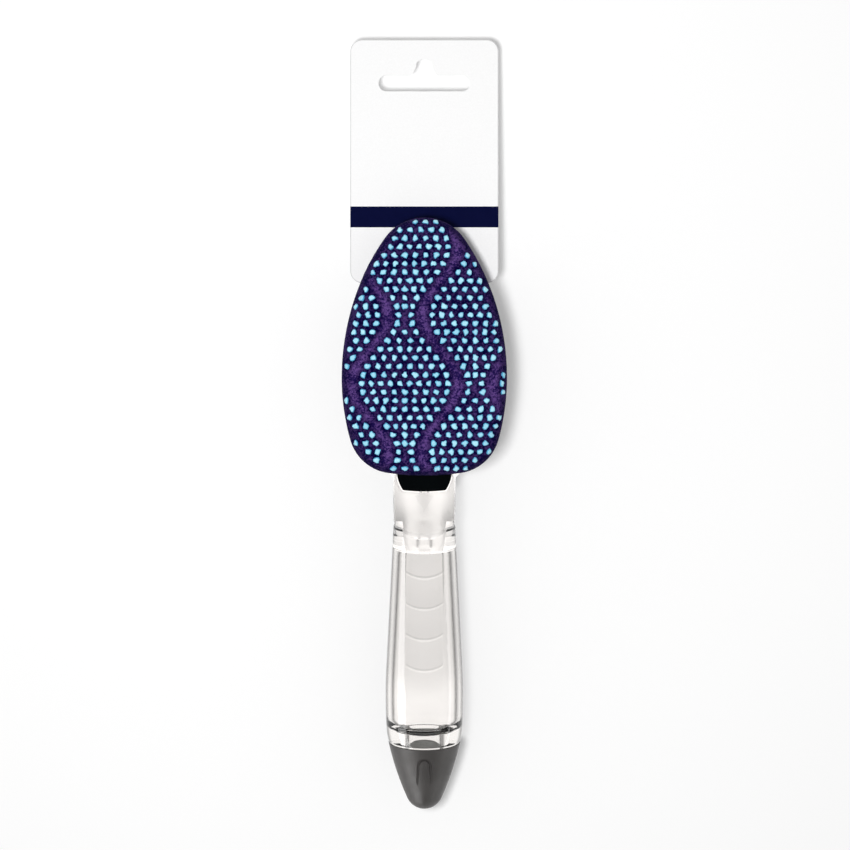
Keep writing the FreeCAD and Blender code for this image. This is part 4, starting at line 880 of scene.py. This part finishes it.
@dataclass
class ScrubPad:
    """Fabric over foam: a crowned cushion, inflated from the foam's own form.

    Attributes:
        centres: Middle of each printed dot.
        voxel: Size of the even mesh that is inflated.
        stand_off: How far the fabric stands off the foam before it is inflated.
        swell: How far a point of it may rise when it is inflated.
        pressure: Pressure of the inflation.
        quality: Steps of the simulation in a frame.
        frames: Frames of the inflation.
        wall: Thickness of the fabric.
        hem: Height of the fabric's hem above the back of the base plate.
        underside: How far a face must look down to be left off as the underside.
        halo, painted_dot_shade_core: Reach of the painted shade round a dot, and of the full painted shade.
        rim_from, rim_to: How far the fabric faces up where the painted shade on its rim starts, and is
            darkest.
        surface: Outer face of the fabric, once it is built.
    """

    centres: list[Vector]
    voxel: float = 1.7 * MM
    stand_off: float = 1.0 * MM
    swell: float = 0.5 * MM
    quick_share: float = 0.8
    pressure: float = 4.0
    quality: int = 6
    frames: int = 20
    wall: float = 1.0 * MM
    hem: float = 2.6 * MM
    underside: float = 0.5
    painted_dot_shade: float = 3.1 * MM
    painted_dot_shade_core: float = 1.8 * MM
    rim_from: float = 0.97
    rim_to: float = 0.70
    surface: BVHTree | None = field(default=None, init=False)

    def even_form(self) -> bpy.types.Object:
        """Foam form with an even mesh, as a working object."""
        work = new_piece("pad_form", merged_copy("foam_core"), None)
        even_out(work, self.voxel)
        even = evaluated_bmesh(work)
        bpy.data.objects.remove(work)
        return new_piece("pad_even", even, None)

    def inflate(self, work: bpy.types.Object) -> list[Vector]:
        """Inflate the even form with cloth pressure, its underside held.

        Args:
            work: The even form.

        Returns:
            Place of each vertex, moved by the swell at most.
        """
        normals = [vertex.normal.copy() for vertex in work.data.vertices]
        for vertex, normal in zip(work.data.vertices, normals):
            vertex.co += normal * self.stand_off
        start = [vertex.co.copy() for vertex in work.data.vertices]
        held = work.vertex_groups.new(name="held")
        low = [i for i, co in enumerate(start) if HEAD.height(co) < self.hem]
        held.add(low, 1.0, "REPLACE")
        cloth = work.modifiers.new("inflate", "CLOTH")
        cloth.settings.quality = self.quality
        cloth.settings.use_pressure = True
        cloth.settings.uniform_pressure_force = self.pressure
        cloth.settings.effector_weights.gravity = 0.0
        cloth.settings.vertex_group_mass = held.name
        cloth.point_cache.frame_start = 1
        cloth.point_cache.frame_end = self.frames
        scene = bpy.context.scene
        for step in range(1, self.frames + 1):
            scene.frame_set(step)
        puffed = evaluated_bmesh(work)
        puffed.verts.ensure_lookup_table()
        moved = []
        for index, (co, normal) in enumerate(zip(start, normals)):
            rise = (puffed.verts[index].co - co).dot(normal)
            moved.append(co + normal * limited(rise, self.swell))
        puffed.free()
        scene.frame_set(1)
        work.modifiers.remove(cloth)
        return moved

    def build(self) -> None:
        """Build the fabric and the foam."""
        work = self.even_form()
        outer = self.inflate(work)
        for vertex, co in zip(work.data.vertices, outer):
            vertex.co = co
        self.make_fabric(work)
        bpy.data.objects.remove(work)
        self.make_foam()

    def make_fabric(self, work: bpy.types.Object) -> None:
        """Open the inflated form below its hem and give it a wall."""
        finer = work.modifiers.new("finer", "SUBSURF")
        finer.levels = 1
        finer.render_levels = 1
        bm = evaluated_bmesh(work)
        cut = bmesh.ops.bisect_plane(
            bm, geom=[*bm.verts, *bm.edges, *bm.faces], dist=CUT_REACH,
            plane_co=HEAD.point(0.0, 0.0, self.hem), plane_no=-HEAD.up, clear_outer=True)
        LOG.info("pad hem: %d cut elements", len(cut["geom_cut"]))
        inside = [face for face in bm.faces if face.normal.dot(HEAD.up) < -self.underside]
        bmesh.ops.delete(bm, geom=inside, context="FACES")
        bmesh.ops.recalc_face_normals(bm, faces=bm.faces)
        self.surface = BVHTree.FromBMesh(bm)
        # Painted shade: full near each dot, fading out at its reach, and darker where the fabric turns down
        # at the rim.
        shade = bm.verts.layers.float.new("painted_dot_and_rim_shade")
        tree = KDTree(len(self.centres))
        for index, centre in enumerate(self.centres):
            tree.insert(centre, index)
        tree.balance()
        for vertex in bm.verts:
            reach = tree.find(vertex.co)[2]
            near = (self.painted_dot_shade - reach) / (self.painted_dot_shade - self.painted_dot_shade_core)
            turn = (self.rim_from - vertex.normal.dot(HEAD.up)) / (self.rim_from - self.rim_to)
            vertex[shade] = limited(max(near, turn))
        bmesh.ops.solidify(bm, geom=bm.faces, thickness=self.wall)
        fabric = new_piece("scrub_pad_fabric", bm, ScrubFabric().material())
        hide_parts("scrub_cover")
        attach(fabric, "head")
        LOG.info("%s: %d faces", fabric.name, len(fabric.data.polygons))

    def make_foam(self) -> None:
        """Even foam block inside the fabric."""
        bm = merged_copy("foam_core")
        foam = new_piece("pad_foam_block", bm, PadFoam().material())
        even_out(foam, self.voxel)
        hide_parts("foam_core")
        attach(foam, "head")
        LOG.info("%s built", foam.name)


@dataclass
class PrintedDots:
    """Raised printed dots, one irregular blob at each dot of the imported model.

    Attributes:
        radius: Dot at its foot.
        taper: Share of that radius on the crown.
        height: Dot above the fabric.
        soften: Share of that height over which the crown's rim is rounded.
        sink: Dot below the fabric's face.
        sides: Sides of a dot.
        wobble: How far a wave of a dot's outline strays from round.
        waves: Waves of a dot's outline.
        least_wave: Least share of the wobble that a wave has.
        size_spread, tone_spread: How far a dot's size and tone stray from the mean.
        seed: Seed of the irregularity.
        centres: Middle of each dot, row by row.
    """

    radius: float = 1.32 * MM
    taper: float = 0.78
    height: float = 0.5 * MM
    soften: float = 0.55
    sink: float = 0.3 * MM
    sides: int = 10
    wobble: float = 0.17
    waves: int = 3
    least_wave: float = 0.3
    size_spread: float = 0.1
    tone_spread: float = 0.12
    seed: int = 11
    centres: list[Vector] = field(default_factory=list, init=False)

    def __post_init__(self) -> None:
        """Read the dots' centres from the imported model."""
        bm = merged_copy("scrub_dots")
        waiting = set(bm.verts)
        while waiting:
            island = [waiting.pop()]
            for vertex in island:
                near = [edge.other_vert(vertex) for edge in vertex.link_edges]
                fresh = [other for other in near if other in waiting]
                waiting.difference_update(fresh)
                island.extend(fresh)
            middle = sum((vertex.co for vertex in island), Vector()) / len(island)
            self.centres.append(middle)
        bm.free()
        self.centres.sort(key=lambda co: (round(co.y, 4), co.x))

    def master(self) -> bpy.types.Mesh:
        """One round dot with a softened crown, foot at z = 0."""
        bm = bmesh.new()
        tall = self.height + self.sink
        bmesh.ops.create_cone(bm, cap_ends=True, segments=self.sides, radius1=self.radius,
                              radius2=self.radius * self.taper, depth=tall)
        bmesh.ops.translate(bm, verts=bm.verts, vec=(0.0, 0.0, tall / 2 - self.sink))
        rim = [edge for edge in bm.edges if all(v.co.z > 0.0 for v in edge.verts)]
        bmesh.ops.bevel(bm, geom=rim, offset=self.height * self.soften, affect="EDGES", segments=1,
                        profile=0.5, material=-1, offset_type="OFFSET")
        mesh = bpy.data.meshes.new("dot_master")
        bm.to_mesh(mesh)
        bm.free()
        return mesh

    def build(self, surface: BVHTree) -> None:
        """Set a blob on the fabric at each dot.

        Args:
            surface: The fabric's outer face.
        """
        rng = random.Random(self.seed)
        master = self.master()
        count = len(master.vertices)
        bm = bmesh.new()
        crown = bm.verts.layers.float.new("crown")
        tone = bm.verts.layers.float.new("tone")
        for centre in self.centres:
            bm.from_mesh(master)
            bm.verts.ensure_lookup_table()
            blob = bm.verts[-count:]
            self.shape_blob(blob, crown, tone, rng)
            foot, normal, _, _ = surface.find_nearest(centre)
            turn = normal.to_track_quat("Z", "Y").to_matrix().to_4x4()
            bmesh.ops.transform(bm, matrix=Matrix.Translation(foot) @ turn, verts=blob)
        bpy.data.meshes.remove(master)
        dots = new_piece("printed_dots", bm, DotPrint().material())
        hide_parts("scrub_dots")
        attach(dots, "head")
        LOG.info("%s: %d dots", dots.name, len(self.centres))

    def shape_blob(self, blob: list[bmesh.types.BMVert], crown: bmesh.types.BMLayerItem,
                   tone: bmesh.types.BMLayerItem, rng: random.Random) -> None:
        """Make one round dot irregular and note how high each of its points lies.

        Args:
            blob: Vertices of the dot.
            crown: Layer for the height share.
            tone: Layer for the dot's own tone.
            rng: Source of the irregularity.
        """
        swing = [(rng.uniform(self.least_wave, 1.0) * self.wobble, rng.uniform(0.0, math.tau))
                 for _ in range(self.waves)]
        size = rng.uniform(1.0 - self.size_spread, 1.0 + self.size_spread)
        level = rng.uniform(-self.tone_spread, self.tone_spread)
        for vertex in blob:
            angle = math.atan2(vertex.co.y, vertex.co.x)
            bulge = sum(a * math.cos(n * angle + turn) for n, (a, turn) in enumerate(swing, 2))
            vertex.co.xy *= size * (1.0 + bulge)
            # This height share sets the print's painted shade and painted highlight.
            vertex[crown] = max(vertex.co.z / self.height, 0.0)
            vertex[tone] = level


# Rigid pieces

@dataclass
class RigidPieces:
    """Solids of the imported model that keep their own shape, by finish."""

    clear: tuple[str, ...] = ("handle_barrel",)
    neck: tuple[str, ...] = ("head_mount",)
    black: tuple[str, ...] = ("base_plate", "latch_tab")
    grey: tuple[str, ...] = ("end_cap",)
    natural: tuple[str, ...] = ("valve_retainer", "cap_insert")
    silicone: tuple[str, ...] = ("outlet_valve", "outlet_seal", "cap_seal")
    card: tuple[str, ...] = ("hang_card",)

    def dress(self) -> None:
        """Give every solid its finish."""
        finishes = (
            (self.clear, ClearPlastic()),
            (self.neck, ClearPlastic("clear_neck_plastic", neck=True)),
            (self.black, Plastic.BLACK.value),
            (self.grey, Plastic.GREY.value),
            (self.natural, Plastic.NATURAL.value),
            (self.silicone, Silicone()),
            (self.card, CardBoard()),
        )
        for nodes, finish in finishes:
            material = finish.material()
            for node in nodes:
                dress_node(node, material)


# Stage

@dataclass
class Studio:
    """White floor, soft light and a camera square to the scrub face.

    Attributes:
        reach: Half side of the floor.
        cells: Cells of the floor along a side.
        floor: Colour of the floor.
        floor_clouds: Clouds in that colour per metre.
        cloud_share: Share of the colour that is left in a cloud.
        floor_rough: Roughness of the floor.
        drop: Depth of the floor below the wand, so that the head can slide off above it.
        glow: Light that the floor adds to what the camera and gloss see of it.
        ground_colour: Colour of the ground that clear plastic shows.
        ground_low, ground_high: Strength of that ground under the barrel's middle, and where it is palest.
        end_ground, neck_ground: Where it starts to pale towards the cap and the neck, and is palest.
        neck_lift: How much stronger it is under the neck than under the end.
        side_ground: Distance aside at which it starts to darken, and at which it is darkest.
        side_low: Share of it that is left there.
        side_shift: How far the darker sides are moved to the left.
        dome: Strength of the soft light from all round.
        dark: Strength of the surround that gloss sees.
        beyond: Strength of the surround that clear plastic shows.
        card: Strength of the reflector cards that gloss sees.
        card_soft: Half width of a card's soft edge, as a sine of the elevation.
        side_from: How far aside the cards on the left and the right start.
        far_from: How far ahead the card beyond the head starts.
        left_card, right_card, far_card: Lower and upper edge of each card, as sines of the elevation.
        right_share: Strength of the card on the right to that of the others.
        key_place, key_size, key_power: Place, side and watts of the key lamp.
        distance: Camera to the crown of the pad.
        view_width: Width of the photograph in the plane of the pad's crown.
        crown: Height of the pad's crown above the back of the base plate.
        aim_x, aim_y: Middle of the photograph, across the wand and ahead of the pad's heel.
        sensor: Width of the camera's sensor in millimetres.
    """

    reach: float = 4.0
    cells: int = 8
    floor: Colour = (0.80, 0.80, 0.80)
    floor_clouds: float = 3.0
    cloud_share: float = 0.99
    floor_rough: float = 0.9
    drop: float = 11.5 * MM
    glow: float = 0.22
    ground_colour: Colour = (1.0, 0.975, 0.955)
    ground_low: float = 0.94
    ground_high: float = 1.06
    end_ground: Pair = (-85.0 * MM, -116.0 * MM)
    neck_ground: Pair = (-52.0 * MM, -43.0 * MM)
    neck_lift: float = 0.27
    side_ground: Pair = (26.0 * MM, 62.0 * MM)
    side_low: float = 0.32
    side_shift: float = 3.0 * MM
    dome: float = 0.36
    dark: float = 0.16
    beyond: float = 0.55
    card: float = 5.0
    card_soft: float = 0.03
    side_from: float = 0.2
    far_from: float = 0.3
    left_card: Pair = (0.03, 0.50)
    right_card: Pair = (0.03, 0.20)
    right_share: float = 0.55
    far_card: Pair = (0.44, 0.72)
    key_place: tuple[float, float, float] = (-0.09, 0.09, 1.0)
    key_size: float = 0.12
    key_power: float = 6.8
    distance: float = 1.3
    view_width: float = 0.3273
    crown: float = 24.0 * MM
    aim_x: float = 0.25 * MM
    aim_y: float = 19.8 * MM
    sensor: float = 36.0

    def build(self) -> None:
        """Build the floor, the surround, the lamp and the camera."""
        self.make_floor()
        self.make_surround()
        self.make_key()
        self.make_camera()

    def make_floor(self) -> None:
        """Plain white floor that keeps the shadow."""
        bm = bmesh.new()
        bmesh.ops.create_grid(bm, x_segments=self.cells, y_segments=self.cells, size=self.reach,
                              matrix=Matrix.Translation((0.0, 0.0, -self.drop)))
        desk = MaterialDesk("white_floor")
        where = desk.place()
        clouds = desk.clouds(where, self.floor_clouds)
        colour = desk.mix(clouds, rgba(self.floor, self.cloud_share), rgba(self.floor))
        desk.set(Base_Color=colour, Roughness=self.floor_rough, Specular_IOR_Level=0.0)
        paths = desk.node("ShaderNodeLightPath").outputs
        seen = desk.math("ADD", paths["Is Camera Ray"], paths["Is Glossy Ray"], clamp=True)
        glow = desk.node("ShaderNodeEmission", {"Strength": desk.math("MULTIPLY", seen, self.glow)})
        both = desk.node("ShaderNodeAddShader", {0: desk.shader.outputs[0], 1: glow.outputs[0]})
        clear = desk.node("ShaderNodeEmission", {
            "Color": rgba(self.ground_colour), "Strength": self.ground(desk, where)})
        through = desk.math("MULTIPLY", paths["Is Transmission Ray"], self.direct(desk, paths))
        desk.feed(desk.output.inputs["Surface"], desk.blend(through, both.outputs[0], clear.outputs[0]))
        new_piece("floor", bm, desk.material)

    @staticmethod
    def direct(desk: NodeDesk, paths: bpy.types.bpy_prop_collection) -> Socket:
        """Mask of the rays that no matt surface has scattered yet."""
        return desk.math("LESS_THAN", paths["Diffuse Depth"], 0.5)

    def ground(self, desk: MaterialDesk, where: Socket) -> Socket:
        """Strength of the ground that clear plastic shows: paler under both ends, darker aside."""
        split = desk.node("ShaderNodeSeparateXYZ", {0: where}).outputs
        under_end = desk.span(split["Y"], *self.end_ground)
        under_neck = desk.span(split["Y"], *self.neck_ground)
        pale = desk.math("MAXIMUM", under_end, under_neck)
        level = desk.math("MULTIPLY_ADD", pale, self.ground_high - self.ground_low, self.ground_low)
        level = desk.math("MULTIPLY_ADD", under_neck, self.neck_lift, level)
        aside = desk.math("ABSOLUTE", desk.math("ADD", split["X"], self.side_shift))
        fall = desk.span(aside, *self.side_ground, 1.0, self.side_low)
        return desk.math("MULTIPLY", level, desk.math("MAXIMUM", fall, under_neck))

    def make_surround(self) -> None:
        """Soft light from all round, with reflector cards that only gloss sees."""
        world = bpy.data.worlds.new("surround")
        world.use_nodes = True
        bpy.context.scene.world = world
        desk = NodeDesk(world.node_tree)
        toward = desk.node("ShaderNodeTexCoord").outputs["Generated"]
        split = desk.node("ShaderNodeSeparateXYZ", {0: toward}).outputs
        on_left = desk.math("LESS_THAN", split["X"], -self.side_from)
        on_right = desk.math("GREATER_THAN", split["X"], self.side_from)
        far_on = desk.math("GREATER_THAN", split["Y"], self.far_from)
        left = self.card_mask(desk, split["Z"], self.left_card, on_left)
        right = self.card_mask(desk, split["Z"], self.right_card, on_right)
        ahead = self.card_mask(desk, split["Z"], self.far_card, far_on)
        cards = desk.math("MULTIPLY_ADD", right, self.right_share, desk.math("MAXIMUM", left, ahead))
        mirrored = desk.math("MULTIPLY_ADD", cards, self.card - self.dark, self.dark)
        paths = desk.node("ShaderNodeLightPath").outputs
        direct = self.direct(desk, paths)
        gloss = desk.math("MULTIPLY", paths["Is Glossy Ray"], direct)
        strength = desk.math("MULTIPLY_ADD", desk.math("SUBTRACT", mirrored, self.dome), gloss, self.dome)
        through = desk.math("SUBTRACT", desk.math("MULTIPLY", direct, self.beyond), strength)
        strength = desk.math("MULTIPLY_ADD", through, paths["Is Transmission Ray"], strength)
        to_white = desk.math("MULTIPLY", desk.math("SUBTRACT", 1.0, strength), paths["Is Camera Ray"])
        background = world.node_tree.nodes["Background"]
        desk.feed(background.inputs["Color"], rgba(WHITE))
        desk.feed(background.inputs["Strength"], desk.math("ADD", strength, to_white))

    def card_mask(self, desk: NodeDesk, height: Socket, edges: Pair, side: Socket) -> Socket:
        """Mask of a reflector card with soft edges.

        Args:
            desk: Desk of the surround.
            height: Sine of the elevation.
            edges: Lower and upper edge of the card.
            side: Mask of the side that it stands on.

        Returns:
            One on the card, zero elsewhere.
        """
        low = desk.span(height, edges[0] - self.card_soft, edges[0] + self.card_soft)
        high = desk.span(height, edges[1] - self.card_soft, edges[1] + self.card_soft, 1.0, 0.0)
        return desk.math("MULTIPLY", desk.math("MULTIPLY", low, high), side)

    def make_key(self) -> None:
        """Small key lamp over the wand, to its left, that shows in no gloss."""
        lamp = bpy.data.lights.new("key", "AREA")
        lamp.size = self.key_size
        lamp.energy = self.key_power
        obj = bpy.data.objects.new("key", lamp)
        bpy.context.scene.collection.objects.link(obj)
        place = Vector(self.key_place)
        obj.location = place
        obj.rotation_euler = (-place).to_track_quat("-Z", "Y").to_euler()
        obj.visible_camera = False
        obj.visible_glossy = False
        obj.visible_transmission = False

    def make_camera(self) -> None:
        """Camera that looks square onto the scrub face."""
        camera = bpy.data.cameras.new("camera")
        camera.sensor_width = self.sensor
        camera.lens = self.sensor * self.distance / self.view_width
        obj = bpy.data.objects.new("camera", camera)
        bpy.context.scene.collection.objects.link(obj)
        place = HEAD.point(self.aim_x, self.aim_y, self.crown + self.distance)
        turn = HEAD.matrix().to_3x3().to_4x4()
        obj.matrix_world = Matrix.Translation(place) @ turn
        bpy.context.scene.camera = obj
        bpy.context.scene.view_settings.view_transform = "Standard"


def main() -> None:
    """Dress the wand and set the stage."""
    logging.basicConfig(level=logging.INFO, format="%(message)s")
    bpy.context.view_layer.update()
    RigidPieces().dress()
    dots = PrintedDots()
    pad = ScrubPad(dots.centres)
    pad.build()
    dots.build(pad.surface)
    Studio().build()


if __name__ == "__main__":
    main()
